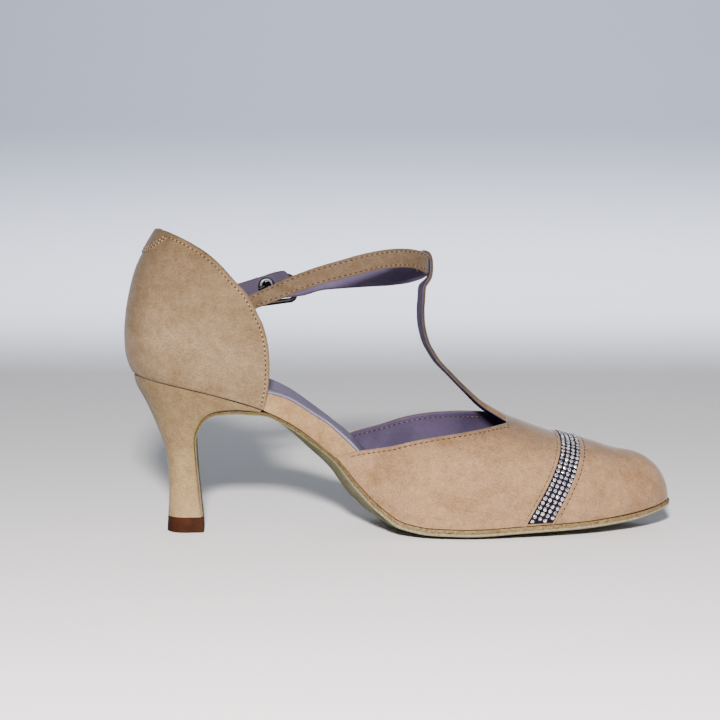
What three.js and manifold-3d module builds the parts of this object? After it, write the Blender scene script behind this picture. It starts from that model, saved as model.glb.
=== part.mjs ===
// Ballroom shoe for the left foot: closed toe, open waist, T-strap, ankle strap and a flared heel.
// Millimetres, +X to the toe, +Y to the outer side of the foot, +Z up, floor at z = 0.
import * as THREE from 'three';
import { mergeVertices } from 'three/addons/utils/BufferGeometryUtils.js';
import Module from 'manifold-3d';

const wasm = await Module();
wasm.setup();

// Last and sole
const shoeLength = 235;
const ballWidth = 75;
const heelRise = 63.9;
const toeSpring = 7.7;
const soleEdgeLift = 4.5;
const soleThickness = 2.8;
const soleMargin = 0.6;
const bedDepth = 11;
const sockThickness = 1;
const waistBow = 5.2;
const clearance = 0.3;
const seatInset = 4;
const seatLength = 24;
const toeCapLength = 47;
const toeTipLength = 22;

// Upper
const vampWall = 1.6;
const counterWall = 1.8;
const instepHeight = 42;
const sideBulge = 2.2;
const ridgeShift = 3;
const counterHeight = 61.3;
const counterDepth = 61.5;
const outerSideRise = 4;
const tabThickness = 0.8;
const bandWidth = 8.5;
const bandThickness = 1;
const bandFromToe = 45;
const bandSweep = 15.8;

// Heel
const topPieceHeight = 6.6;
const breastLeather = 1.3;
const topPieceFlare = 0.4;

// Straps and fastening
const strapWidth = 8;
const strapThickness = 2;
const tStrapWidth = 10;
const tStrapThickness = 1.4;
const tStrapTwist = 9;
const shortStrapWidth = 9;
const loopFromToe = 107.3;
const loopSlack = 1.05;
const strapTaper = 0.7;
const buckleLength = 20.5;
const buckleHeight = 13;
const buckleWire = 2.2;
const buckleTilt = 7.4;
const buckleFromCounter = 2.8;
const prongWire = 1.3;
const hookWire = 1.4;
const grommetOuter = 7.3;
const grommetHole = 3.7;
const grommetRim = 0.8;
const buckleFromStrap = 6.6;

// Line of the sole's upper edge, its bow and thickness, and its half widths on both sides.
// at: share of shoeLength; rise: of heelRise; spring: of toeSpring; bow: share of waistBow that the middle
// lies below the edge; sole: of soleThickness; bed: of bedDepth; inner, outer: shares of ballWidth.
const lastSections = [
  { at: 0.00, rise: 1.000, spring: 0.00, bow: 0.00, sole: 0.5, bed: 0.60, inner: 0.330, outer: 0.330 },
  { at: 0.10, rise: 0.925, spring: 0.00, bow: 0.00, sole: 0.5, bed: 0.62, inner: 0.330, outer: 0.330 },
  { at: 0.18, rise: 0.850, spring: 0.00, bow: 0.00, sole: 0.5, bed: 0.70, inner: 0.322, outer: 0.322 },
  { at: 0.25, rise: 0.765, spring: 0.00, bow: 0.00, sole: 0.5, bed: 0.82, inner: 0.285, outer: 0.290 },
  { at: 0.30, rise: 0.673, spring: 0.00, bow: 0.77, sole: 0.6, bed: 0.93, inner: 0.262, outer: 0.280 },
  { at: 0.345, rise: 0.556, spring: 0.00, bow: 0.92, sole: 0.65, bed: 1.00, inner: 0.258, outer: 0.295 },
  { at: 0.38, rise: 0.454, spring: 0.00, bow: 1.00, sole: 0.7, bed: 1.08, inner: 0.272, outer: 0.325 },
  { at: 0.42, rise: 0.280, spring: 0.00, bow: 0.85, sole: 0.8, bed: 1.38, inner: 0.315, outer: 0.375 },
  { at: 0.46, rise: 0.133, spring: 0.00, bow: 0.62, sole: 0.9, bed: 1.38, inner: 0.375, outer: 0.425 },
  { at: 0.50, rise: 0.039, spring: 0.00, bow: 0.46, sole: 1.0, bed: 1.00, inner: 0.430, outer: 0.465 },
  { at: 0.55, rise: 0.006, spring: 0.00, bow: 0.38, sole: 1.0, bed: 0.60, inner: 0.475, outer: 0.495 },
  { at: 0.62, rise: 0.000, spring: 0.00, bow: 0.38, sole: 1.0, bed: 0.36, inner: 0.500, outer: 0.500 },
  { at: 0.72, rise: 0.000, spring: 0.14, bow: 0.31, sole: 1.0, bed: 0.34, inner: 0.475, outer: 0.460 },
  { at: 0.82, rise: 0.000, spring: 0.25, bow: 0.27, sole: 1.0, bed: 0.34, inner: 0.405, outer: 0.405 },
  { at: 0.90, rise: 0.000, spring: 0.45, bow: 0.19, sole: 1.0, bed: 0.34, inner: 0.335, outer: 0.345 },
  { at: 0.96, rise: 0.000, spring: 0.71, bow: 0.08, sole: 0.9, bed: 0.34, inner: 0.290, outer: 0.300 },
  { at: 1.00, rise: 0.000, spring: 1.00, bow: 0.00, sole: 0.8, bed: 0.34, inner: 0.260, outer: 0.270 },
];

// Height of the instep ridge above the sole's edge, as shares of instepHeight.
const ridgeSections = [
  { at: 0.36, high: 2.70, shift: 1.0 },
  { at: 0.46, high: 2.40, shift: 1.0 },
  { at: 0.55, high: 1.85, shift: 1.0 },
  { at: 0.62, high: 1.38, shift: 1.0 },
  { at: 0.685, high: 1.085, shift: 1.0 },
  { at: 0.72, high: 0.995, shift: 1.0 },
  { at: 0.79, high: 0.840, shift: 0.8 },
  { at: 0.85, high: 0.745, shift: 0.5 },
  { at: 0.91, high: 0.612, shift: 0.2 },
  { at: 0.96, high: 0.552, shift: 0.0 },
  { at: 1.00, high: 0.490, shift: 0.0 },
];

// Back part, by height above the seat. up, back: shares of counterHeight; wide: share of the seat's width.
const counterSections = [
  { up: 0.00, back: 0.065, wide: 1.00 },
  { up: 0.06, back: 0.032, wide: 1.05 },
  { up: 0.16, back: 0.006, wide: 1.11 },
  { up: 0.28, back: 0.000, wide: 1.16 },
  { up: 0.42, back: 0.010, wide: 1.16 },
  { up: 0.57, back: 0.036, wide: 1.12 },
  { up: 0.72, back: 0.072, wide: 1.07 },
  { up: 0.86, back: 0.126, wide: 1.01 },
  { up: 1.00, back: 0.198, wide: 0.95 },
  { up: 1.12, back: 0.280, wide: 0.90 },
];

// Edge of the counter from its peak forward and down to the sole: shares of counterDepth and counterHeight.
const counterEdge = [
  { along: 0.20, up: 1.000 },
  { along: 0.29, up: 0.978 },
  { along: 0.375, up: 0.950 },
  { along: 0.48, up: 0.905 },
  { along: 0.59, up: 0.834 },
  { along: 0.68, up: 0.752 },
  { along: 0.765, up: 0.656 },
  { along: 0.85, up: 0.560 },
  { along: 0.915, up: 0.439 },
  { along: 0.965, up: 0.330 },
  { along: 0.995, up: 0.200 },
  { along: 1.00, up: 0.060 },
  { along: 0.985, up: -0.110 },
  { along: 0.95, up: -0.240 },
  { along: 0.93, up: -0.320 },
];

// Lower edge of the small tab at the peak, in the same shares.
const tabEdge = [
  { along: -0.05, up: 0.830 },
  { along: 0.13, up: 0.826 },
  { along: 0.23, up: 0.832 },
  { along: 0.30, up: 0.862 },
  { along: 0.345, up: 0.905 },
  { along: 0.37, up: 1.000 },
];

// Topline of the vamp on the inner side. along: share of shoeLength; up: share of heelRise.
const vampEdge = [
  { along: 0.350, up: 0.440 },
  { along: 0.385, up: 0.520 },
  { along: 0.401, up: 0.540 },
  { along: 0.427, up: 0.571 },
  { along: 0.480, up: 0.617 },
  { along: 0.535, up: 0.652 },
  { along: 0.573, up: 0.671 },
  { along: 0.611, up: 0.685 },
  { along: 0.649, up: 0.705 },
  { along: 0.668, up: 0.722 },
  { along: 0.682, up: 0.742 },
  { along: 0.691, up: 0.768 },
];

// Rings of the heel from the seat down to the floor. drop: share of the way to the top piece;
// back, front: shares of counterDepth; wide: share of the seat's width.
const heelSections = [
  { drop: 0.00, back: 0.065, front: 1.000, wide: 1.00 },
  { drop: 0.05, back: 0.075, front: 0.990, wide: 0.955 },
  { drop: 0.10, back: 0.098, front: 0.965, wide: 0.90 },
  { drop: 0.18, back: 0.142, front: 0.890, wide: 0.80 },
  { drop: 0.27, back: 0.182, front: 0.800, wide: 0.685 },
  { drop: 0.38, back: 0.230, front: 0.715, wide: 0.555 },
  { drop: 0.52, back: 0.281, front: 0.640, wide: 0.430 },
  { drop: 0.68, back: 0.306, front: 0.600, wide: 0.365 },
  { drop: 0.84, back: 0.311, front: 0.610, wide: 0.355 },
  { drop: 1.00, back: 0.304, front: 0.640, wide: 0.385 },
];

// Breast of the heel from the waist back and down. along: share of counterDepth;
// up: share of the sole edge's height at the front of the counter.
const breastCurve = [
  { along: 1.000, up: 0.988 },
  { along: 0.950, up: 1.006 },
  { along: 0.877, up: 1.018 },
  { along: 0.793, up: 1.028 },
  { along: 0.696, up: 1.023 },
  { along: 0.626, up: 1.011 },
  { along: 0.571, up: 0.983 },
  { along: 0.528, up: 0.933 },
  { along: 0.496, up: 0.857 },
  { along: 0.481, up: 0.780 },
  { along: 0.483, up: 0.680 },
  { along: 0.496, up: 0.512 },
  { along: 0.514, up: 0.343 },
  { along: 0.529, up: 0.209 },
  { along: 0.542, up: 0.132 },
];

// Ankle strap's middle line between the counter and the buckle, on the inner side and then on the outer side.
// along: share of the way from the counter to the loop; out: share of ballWidth; up: share of counterHeight.
const ankleSections = [
  { along: 0.023, out: -0.305, up: 0.561 },
  { along: 0.163, out: -0.323, up: 0.627 },
  { along: 0.324, out: -0.325, up: 0.682 },
  { along: 0.480, out: -0.312, up: 0.722 },
  { along: 0.653, out: -0.275, up: 0.769 },
  { along: 0.799, out: -0.217, up: 0.792 },
  { along: 0.905, out: -0.155, up: 0.789 },
  { along: 0.980, out: -0.100, up: 0.772 },
  { along: 1.018, out: -0.047, up: 0.751 },
  { along: 1.019, out: 0.015, up: 0.734 },
  { along: 1.001, out: 0.062, up: 0.720 },
  { along: 0.965, out: 0.120, up: 0.703 },
  { along: 0.906, out: 0.187, up: 0.680 },
  { along: 0.807, out: 0.243, up: 0.658 },
  { along: 0.671, out: 0.287, up: 0.641 },
  { along: 0.505, out: 0.315, up: 0.624 },
  { along: 0.339, out: 0.325, up: 0.606 },
];

// T-strap's middle line. along, up: shares of the way from the vamp's throat to the loop.
const tStrapSections = [
  { along: 0.170, up: 0.048 },
  { along: 0.300, up: 0.092 },
  { along: 0.427, up: 0.151 },
  { along: 0.556, up: 0.214 },
  { along: 0.686, up: 0.285 },
  { along: 0.810, up: 0.357 },
  { along: 0.893, up: 0.426 },
  { along: 0.951, up: 0.487 },
  { along: 1.009, up: 0.603 },
  { along: 1.023, up: 0.702 },
  { along: 1.023, up: 0.796 },
  { along: 1.012, up: 0.859 },
];

const clamp01 = (value) => Math.min(1, Math.max(0, value));
const lerp = (a, b, t) => a + (b - a) * t;
const seatHeight = soleEdgeLift + heelRise;

// Smooth curve through one column of a table, which never swings past its rows.
function column(table, place, name, at) {
  let i = 1;
  while (i < table.length - 1 && table[i][place] < at) i += 1;
  const before = table[Math.max(i - 2, 0)];
  const a = table[i - 1];
  const b = table[i];
  const after = table[Math.min(i + 1, table.length - 1)];
  const span = b[place] - a[place];
  const slope = (from, to) => (to === from ? 0 : (to[name] - from[name]) / (to[place] - from[place]));
  const even = (one, two) => (one * two <= 0 ? 0 : 2 * one * two / (one + two));
  const slopeA = before === a ? slope(a, b) : even(slope(before, a), slope(a, b));
  const slopeB = after === b ? slope(a, b) : even(slope(a, b), slope(b, after));
  const t = clamp01((at - a[place]) / span);
  const square = t * t;
  const cube = square * t;
  return a[name] * (2 * cube - 3 * square + 1) + b[name] * (3 * square - 2 * cube)
    + slopeA * span * (cube - 2 * square + t) + slopeB * span * (cube - square);
}

const lastAt = (x, name) => column(lastSections, 'at', name, x / shoeLength);
const edgeHeight = (x) => soleEdgeLift + heelRise * lastAt(x, 'rise') + toeSpring * lastAt(x, 'spring');
const edgeSlope = (x) => (edgeHeight(x + 0.5) - edgeHeight(x - 0.5));
const upright = (x) => Math.hypot(1, edgeSlope(x));
const bedHeight = (x) => edgeHeight(x) + bedDepth * lastAt(x, 'bed');

// Share of the full width that is left near the round ends of the sole.
function endRounding(x, tip) {
  const toe = clamp01((x - (shoeLength - toeCapLength)) / (tip - (shoeLength - toeCapLength)));
  const heel = 1 - clamp01((x - seatInset) / seatLength);
  return Math.sqrt(1 - toe ** 2.3) * Math.sqrt(1 - heel ** 2.2);
}

const fullWidth = (x, side) => ballWidth * lastAt(x, side < 0 ? 'inner' : 'outer');
const soleMiddle = (x, y) => edgeHeight(x)
  - waistBow * lastAt(x, 'bow') * upright(x) * (1 - clamp01(Math.abs(y) / fullWidth(x, y)) ** 2);

// Places along the shoe, closer together towards a round end.
function spaced(from, to, count, tightStart, tightEnd) {
  return Array.from({ length: count + 1 }, (_, i) => {
    const t = i / count;
    const eased = tightStart && tightEnd ? (1 - Math.cos(Math.PI * t)) / 2
      : tightEnd ? Math.sin(Math.PI * t / 2) : tightStart ? 1 - Math.cos(Math.PI * t / 2) : t;
    return lerp(from, to, eased);
  });
}

// Closed solid from a list of triangles of points.
function solidOf(triangles) {
  const positions = triangles.flatMap((triangle) => triangle.flatMap((p) => [p.x, p.y, p.z]));
  const loose = new THREE.BufferGeometry();
  loose.setAttribute('position', new THREE.Float32BufferAttribute(positions, 3));
  const merged = mergeVertices(loose, 1e-4);
  const index = merged.index.array;
  const kept = [];
  for (let i = 0; i < index.length; i += 3) {
    const [a, b, c] = [index[i], index[i + 1], index[i + 2]];
    if (a !== b && b !== c && c !== a) kept.push(a, b, c);
  }
  const mesh = new wasm.Mesh({
    numProp: 3,
    vertProperties: new Float32Array(merged.attributes.position.array),
    triVerts: new Uint32Array(kept),
  });
  return new wasm.Manifold(mesh);
}

// Closed sheet between two grids of points that face each other.
function sheet(front, back) {
  const rows = front.length - 1;
  const columns = front[0].length - 1;
  const triangles = [];
  const quad = (a, b, c, d) => triangles.push([a, b, c], [a, c, d]);
  for (let i = 0; i < rows; i += 1) {
    for (let j = 0; j < columns; j += 1) {
      quad(front[i][j], front[i + 1][j], front[i + 1][j + 1], front[i][j + 1]);
      quad(back[i][j], back[i][j + 1], back[i + 1][j + 1], back[i + 1][j]);
    }
    quad(front[i][0], back[i][0], back[i + 1][0], front[i + 1][0]);
    quad(front[i][columns], front[i + 1][columns], back[i + 1][columns], back[i][columns]);
  }
  for (let j = 0; j < columns; j += 1) {
    quad(front[0][j], front[0][j + 1], back[0][j + 1], back[0][j]);
    quad(front[rows][j], back[rows][j], back[rows][j + 1], front[rows][j + 1]);
  }
  return solidOf(triangles);
}

function solidOfGeometry(geometry) {
  const bare = geometry.index ? geometry.toNonIndexed() : geometry;
  const place = bare.attributes.position;
  const point = (i) => new THREE.Vector3().fromBufferAttribute(place, i);
  const triangles = [];
  for (let i = 0; i < place.count; i += 3) triangles.push([point(i), point(i + 1), point(i + 2)]);
  return solidOf(triangles);
}

// Side view outline carried through the whole width of the shoe; lean lifts its outer side.
function sideCut(points, lean = 0) {
  const outline = new THREE.Shape(points.map(([x, z]) => new THREE.Vector2(x, z)));
  const width = ballWidth * 1.6;
  const geometry = new THREE.ExtrudeGeometry(outline, { depth: width, bevelEnabled: false });
  geometry.rotateX(Math.PI / 2);
  geometry.translate(0, width / 2, 0);
  const place = geometry.attributes.position;
  for (let i = 0; i < place.count; i += 1) {
    place.setZ(i, place.getZ(i) + lean * (place.getY(i) / ballWidth + 0.5));
  }
  return solidOfGeometry(geometry);
}

// Smooth points through an outline's rows.
function smoothLine(points, count) {
  const curve = new THREE.SplineCurve(points.map(([x, z]) => new THREE.Vector2(x, z)));
  return curve.getPoints(count).map((p) => [p.x, p.y]);
}

// Vamp: arches across the foot from one sole edge to the other, closing at the toe.
function vampArch(x, turn, inset) {
  const tipStart = shoeLength - toeTipLength;
  const tip = clamp01((x - tipStart) / toeTipLength);
  const capStart = shoeLength - toeCapLength;
  const cap = clamp01((x - capStart) / toeCapLength);
  const across = Math.cos(turn);
  const side = across > 0 ? -1 : 1;
  const open = endRounding(x, shoeLength);
  const half = (fullWidth(x, side) - inset) * open;
  const high = (instepHeight * column(ridgeSections, 'at', 'high', x / shoeLength) - inset)
    * Math.sqrt(1 - tip ** 2.5);
  const shift = ridgeShift * column(ridgeSections, 'at', 'shift', x / shoeLength) * Math.sin(turn);
  const bulge = sideBulge * Math.sin(2 * turn) * open * clamp01(3 * (x / shoeLength - 0.3));
  return new THREE.Vector3(
    x - inset * cap * cap,
    -(Math.sign(across) * Math.abs(across) ** 0.92 * half + bulge) - shift,
    edgeHeight(x) + clearance * upright(x) + high * Math.sin(turn) ** 0.95,
  );
}

// The same surface lifted off by a distance along its own normal.
function vampLifted(x, turn, lift) {
  const step = 0.02;
  const along = vampArch(x + step, turn, 0).sub(vampArch(x - step, turn, 0));
  const around = vampArch(x, turn + step, 0).sub(vampArch(x, turn - step, 0));
  const normal = along.cross(around).normalize();
  if (normal.z < 0 && turn > 0.4 && turn < Math.PI - 0.4) normal.negate();
  return vampArch(x, turn, 0).addScaledVector(normal, lift);
}

// Strap: a flat ribbon along a route, with its width set from place to place.
function ribbon(route, count, thickness, widthAt, acrossAt) {
  const points = route.map(([x, y, z]) => new THREE.Vector3(x, y, z));
  const curve = new THREE.CatmullRomCurve3(points, false, 'centripetal');
  const front = [];
  const back = [];
  for (let i = 0; i <= count; i += 1) {
    const t = i / count;
    const middle = curve.getPoint(t);
    const along = curve.getTangent(t);
    const across = acrossAt(t, along).addScaledVector(along, -acrossAt(t, along).dot(along)).normalize();
    const outward = new THREE.Vector3().crossVectors(along, across).normalize();
    const reach = widthAt(t) / 2;
    const row = (side) => [-1, 1].map((end) => middle.clone()
      .addScaledVector(across, end * reach).addScaledVector(outward, side * thickness / 2));
    front.push(row(1));
    back.push(row(-1));
  }
  return sheet(front, back);
}

// Half round end of a strap: the share of its width that is left near the end.
const roundEnd = (t, reach) => Math.sqrt(Math.max(0.12, 1 - (1 - clamp01((1 - t) / reach)) ** 2));

// Round wire bent along a route of points.
function wire(route, closed, thickness, sides, steps) {
  const curve = new THREE.CatmullRomCurve3(route, closed, 'catmullrom', 0.2);
  const frames = curve.computeFrenetFrames(steps, closed);
  const rings = Array.from({ length: closed ? steps : steps + 1 }, (_, i) => {
    const middle = curve.getPointAt(i / steps);
    return Array.from({ length: sides }, (__, j) => {
      const angle = 2 * Math.PI * j / sides;
      return middle.clone().addScaledVector(frames.normals[i], Math.cos(angle) * thickness / 2)
        .addScaledVector(frames.binormals[i], Math.sin(angle) * thickness / 2);
    });
  });
  if (closed) rings.push(rings[0]);
  const triangles = [];
  for (let i = 0; i < rings.length - 1; i += 1) {
    for (let j = 0; j < sides; j += 1) {
      const [a, b] = [rings[i], rings[i + 1]];
      const k = (j + 1) % sides;
      triangles.push([a[j], a[k], b[k]], [a[j], b[k], b[j]]);
    }
  }
  if (!closed) {
    const [first, last] = [rings[0], rings.at(-1)];
    for (let j = 1; j < sides - 1; j += 1) {
      triangles.push([first[0], first[j + 1], first[j]], [last[0], last[j], last[j + 1]]);
    }
  }
  return solidOf(triangles);
}

const throat = vampEdge.at(-1).along * shoeLength;

const vampCutPoints = [
  ...smoothLine(vampEdge.map((row) => [row.along * shoeLength, row.up * heelRise]), 30),
  [throat + 2, seatHeight * 2],
  [shoeLength + 20, seatHeight * 2],
  [shoeLength + 20, -20],
  [vampEdge[0].along * shoeLength, -20],
];

// The strap lies in the vamp's ridge, runs up the instep and folds back over the ankle strap.
function tStrapRoute() {
  const root = [8, 4, 0].map((forward) => vampArch(throat + forward, Math.PI / 2, tStrapThickness / 2 - 0.1))
    .map((p) => [p.x, 0, p.z]);
  const [, , start] = root[2];
  const cross = loopMiddle;
  const rising = tStrapSections.map((row) => [lerp(throat, loopPlace, row.along), cross.y * row.up,
    lerp(start, cross.z, row.up)]);
  const half = (strapThickness + tStrapThickness) / 2 + loopSlack;
  const tall = strapWidth / 2 + strapGap + 0.1;
  const fold = [
    [-0.1, -1.45], [0.6, -1.1], [0.98, -0.6], [1.05, 0.1], [0.92, 0.72], [0.5, 1.16], [-0.1, 1.32],
    [-0.75, 1.18], [-1.15, 0.7], [-1.25, 0], [-1.22, -0.75], [-0.98, -1.2], [-0.78, -1.6],
  ].map(([forward, up]) => [cross.x + forward * half, cross.y, cross.z + up * tall]);
  return [...root, ...rising, ...fold];
}

function vampSolid() {
  const rearPlace = vampEdge[0].along * shoeLength;
  const places = [
    ...spaced(rearPlace, shoeLength - toeCapLength, 11, false, false),
    ...spaced(shoeLength - toeCapLength, shoeLength, 10, false, true).slice(1),
  ];
  const turns = spaced(0, Math.PI, 22, false, false);
  const outside = places.map((x) => turns.map((turn) => vampArch(x, turn, 0)));
  const inside = places.map((x) => turns.map((turn) => vampArch(x, turn, vampWall)));
  const shell = sheet(outside, inside).intersect(sideCut(vampCutPoints, outerSideRise));
  const twist = THREE.MathUtils.degToRad(tStrapTwist);
  const strap = ribbon(tStrapRoute(), 44, tStrapThickness,
    (t) => tStrapWidth * (1 + 0.5 * clamp01(1 - t / 0.1) ** 2),
    (t) => new THREE.Vector3(-Math.sin(twist * clamp01(t * 2)), Math.cos(twist * clamp01(t * 2)), 0));
  return shell.add(strap);
}

// Counter: the seat's outline carried up, leaning out and back in.
function counterPoint(share, up, inset) {
  const side = share < 0 ? -1 : 1;
  const run = Math.abs(share) ** 2;
  const front = counterDepth * 1.08;
  const seatX = lerp(seatInset, front, run);
  const back = counterHeight * column(counterSections, 'up', 'back', up) + inset;
  const wide = column(counterSections, 'up', 'wide', up);
  const rounding = 1 - clamp01((seatX - seatInset) / seatLength);
  const reach = (fullWidth(seatX, side) * wide - inset) * Math.sqrt(1 - rounding ** 2.2);
  return new THREE.Vector3(
    lerp(back, front, (seatX - seatInset) / (front - seatInset)),
    side * reach,
    edgeHeight(seatX) + clearance + counterHeight * up,
  );
}

function counterGrid(inset, tops) {
  const shares = spaced(-1, 1, 32, false, false);
  return tops.map((up) => shares.map((share) => counterPoint(share, up, inset)));
}

const counterLine = smoothLine(
  counterEdge.map((row) => [row.along * counterDepth, seatHeight + row.up * counterHeight]), 34);

function counterSolid() {
  const tops = spaced(0, 1.12, 9, false, false);
  const peak = seatHeight + counterHeight;
  const keep = [...counterLine, [-20, counterLine.at(-1)[1]], [-20, peak + 1]];
  return sheet(counterGrid(0, tops), counterGrid(counterWall, tops)).intersect(sideCut(keep));
}

function backTabSolid() {
  const tops = spaced(0.7, 1.12, 6, false, false);
  const region = [
    ...smoothLine(tabEdge.map((row) => [row.along * counterDepth, seatHeight + row.up * counterHeight]), 14),
    [counterDepth * 0.35, seatHeight + counterHeight * 1.1],
    [-20, seatHeight + counterHeight * 1.1],
  ];
  const below = [...counterLine, [-20, counterLine.at(-1)[1]], [-20, seatHeight + counterHeight + 1]]
    .map(([x, z]) => [x, z - clearance]);
  const skin = sheet(counterGrid(-clearance - tabThickness, tops), counterGrid(-clearance, tops));
  return skin.intersect(sideCut(region)).intersect(sideCut(below));
}

// Horn of the heel, before its breast is cut: rings from the seat to the floor.
function heelHorn() {
  const shares = spaced(-1, 1, 24, false, false);
  const bottom = topPieceHeight + clearance;
  const ring = (row, flare, level) => shares.map((share) => {
    const run = Math.abs(share) ** 2;
    const seatX = lerp(seatInset, counterDepth, run);
    const rounding = 1 - clamp01((seatX - seatInset) / seatLength);
    const reach = (fullWidth(seatX, share) * row.wide + flare) * Math.sqrt(1 - rounding ** 2.2);
    const x = lerp(row.back * counterDepth - flare, row.front * counterDepth, run);
    return new THREE.Vector3(x, Math.sign(share) * reach, level ?? lerp(edgeHeight(seatX), bottom, row.drop));
  });
  const rings = heelSections.map((row) => ring(row, 0));
  rings.push(ring(heelSections.at(-1), topPieceFlare, -bottom / 10));
  const half = shares.length - 1;
  const triangles = [];
  const quad = (a, b, c, d) => triangles.push([a, b, c], [a, c, d]);
  for (let i = 0; i < rings.length - 1; i += 1) {
    for (let j = 0; j < half; j += 1) {
      quad(rings[i][j], rings[i][j + 1], rings[i + 1][j + 1], rings[i + 1][j]);
    }
    quad(rings[i][half], rings[i][0], rings[i + 1][0], rings[i + 1][half]);
  }
  const cap = (ring, up) => {
    for (let j = 0; j < half / 2; j += 1) {
      const [a, b, c, d] = [ring[j], ring[j + 1], ring[half - j - 1], ring[half - j]];
      if (up) quad(a, d, c, b);
      else quad(a, b, c, d);
    }
  };
  cap(rings[0], true);
  cap(rings.at(-1), false);
  return solidOf(triangles);
}

const breastTop = edgeHeight(counterDepth);
const breastLine = smoothLine(breastCurve.map((row) => [row.along * counterDepth, row.up * breastTop]), 34);

// Line moved sideways to the right of its own direction.
function beside(line, distance) {
  return line.map(([x, z], i) => {
    const [x0, z0] = line[Math.max(i - 1, 0)];
    const [x1, z1] = line[Math.min(i + 1, line.length - 1)];
    const size = Math.hypot(x1 - x0, z1 - z0);
    return [x - distance * (z1 - z0) / size, z + distance * (x1 - x0) / size];
  });
}

function heelSolid() {
  const bottom = topPieceHeight + clearance;
  const seatLine = spaced(-5, counterDepth * 0.95, 12, false, false)
    .map((x) => [x, edgeHeight(Math.max(x, 0))]);
  const breast = breastLine.filter(([x, z]) => x < counterDepth * 0.95 && z > bottom);
  const profile = [...seatLine, ...breast, [breast.at(-1)[0], bottom], [-5, bottom]];
  return heelHorn().intersect(sideCut(profile));
}

function topPieceSolid() {
  const front = breastLine.at(-1)[0] + clearance + breastLeather;
  const profile = [[0, 0], [front + topPieceFlare, 0], [front, topPieceHeight], [0, topPieceHeight]];
  return heelHorn().intersect(sideCut(profile));
}

// The sole and the insole share their cross sections, so that they lie on each other.
const soleStart = counterDepth * 0.965;
const soleCrosses = spaced(-1, 1, 10, false, false);
const waistPlaces = spaced(soleStart, shoeLength - toeCapLength, 18, false, false);
const toePlaces = (tip) => spaced(shoeLength - toeCapLength, tip, 8, false, true).slice(1);

function outsoleSolid() {
  const tip = shoeLength + soleMargin;
  const places = [...waistPlaces, ...toePlaces(tip)];
  const point = (x, across, low) => {
    const inShoe = Math.min(x, shoeLength);
    const reach = fullWidth(inShoe, across) * endRounding(x, tip) + soleMargin;
    const y = x >= tip ? 0 : across * (reach - low * 0.5);
    const upper = soleMiddle(inShoe, y);
    const under = upper - soleThickness * lastAt(inShoe, 'sole') * upright(inShoe);
    return new THREE.Vector3(x, y, low ? Math.max(0, under) : upper);
  };
  const over = places.map((x) => soleCrosses.map((across) => point(x, across, 0)));
  const under = places.map((x) => soleCrosses.map((across) => point(x, across, 1)));
  const sole = sheet(over, under);
  const inner = beside(breastLine, clearance);
  const outer = beside(breastLine, clearance + breastLeather).reverse();
  const strip = [...inner, ...outer];
  const low = topPieceHeight + clearance;
  const reach = soleStart + 1;
  const span = sideCut([[0, low], [reach, low], [reach, seatHeight], [0, seatHeight]]);
  const flap = heelHorn().intersect(sideCut(strip)).intersect(span);
  return sole.add(flap);
}

// Insole with its shank, from inside the counter to inside the toe; lower keeps a gap to the sole.
function footBed(from, to, crosses, narrower, lowAt, highAt) {
  const places = [...spaced(from, soleStart, 9, true, false).slice(0, -1), ...waistPlaces, ...toePlaces(to)];
  const heelEnd = (x) => Math.sqrt(1 - (1 - clamp01((x - from) / seatLength)) ** 2.2);
  const toeEnd = (x) => Math.sqrt(1 - clamp01((x - to + toeCapLength) / toeCapLength) ** 2.3);
  const row = (x, height) => crosses.map((across) => {
    const y = across * (fullWidth(x, across) - narrower(x)) * heelEnd(x) * toeEnd(x);
    return new THREE.Vector3(x, y, height(x, y));
  });
  return sheet(places.map((x) => row(x, highAt)), places.map((x) => row(x, lowAt)));
}

// Inside the vamp and the counter the insole stands clear of their walls; in the open waist it is flush.
function insoleInset(x) {
  const inside = Math.max(clamp01((counterDepth - x) / 4 + 0.8), clamp01((x - shoeLength * 0.345) / 5));
  return lerp(0, Math.max(vampWall, counterWall) + clearance, inside);
}

function insoleSolid() {
  const top = (x) => bedHeight(x) - (sockThickness + clearance) * upright(x);
  const from = seatInset + counterWall + clearance;
  const to = shoeLength - vampWall - clearance * 2;
  return footBed(from, to, soleCrosses, insoleInset,
    (x, y) => soleMiddle(x, y) + clearance * upright(x), top);
}

function sockSolid() {
  const inset = (x) => insoleInset(x) + 0.6;
  return footBed(seatInset + counterWall + 1, shoeLength - vampWall - 3, [-1, 0, 1], inset,
    (x) => bedHeight(x) - sockThickness * upright(x), bedHeight);
}

// Band across the toe, between two lines swept back to the sole's edge.
function bandSolid() {
  const turns = spaced(0.02, Math.PI - 0.02, 28, false, false);
  const place = (turn, share) => {
    const down = (1 - Math.sin(turn)) ** 1.5;
    return shoeLength - bandFromToe - bandSweep * down + share * bandWidth * 0.5 * (1 + 0.3 * down);
  };
  const rows = [-1, -0.33, 0.33, 1];
  const layer = (lift) => rows
    .map((share) => turns.map((turn) => vampLifted(place(turn, share), turn, lift)));
  return sheet(layer(clearance + bandThickness), layer(clearance));
}

// Distance from the shoe's middle to the counter's inner or outer face, moved by a gap away from its leather.
function besideCounter(x, z, side, gap) {
  const front = counterDepth * 1.08;
  let up = 0.5;
  let run = 0.5;
  for (let i = 0; i < 20; i += 1) {
    const back = counterHeight * column(counterSections, 'up', 'back', up);
    run = clamp01((x - back) / (front - back));
    up = (z - edgeHeight(lerp(seatInset, front, run)) - clearance) / counterHeight;
  }
  return counterPoint(side * Math.sqrt(run), up, gap < 0 ? counterWall - gap : -gap).y;
}

// Strap's place beside the counter, clear of it over the strap's whole width.
function alongCounter(x, z, side, wide, gap) {
  const reaches = [-0.5, 0, 0.5].map((share) => Math.abs(besideCounter(x, z + share * wide, side, gap)));
  return [x, side * (gap < 0 ? Math.min(...reaches) : Math.max(...reaches)), z];
}

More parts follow.
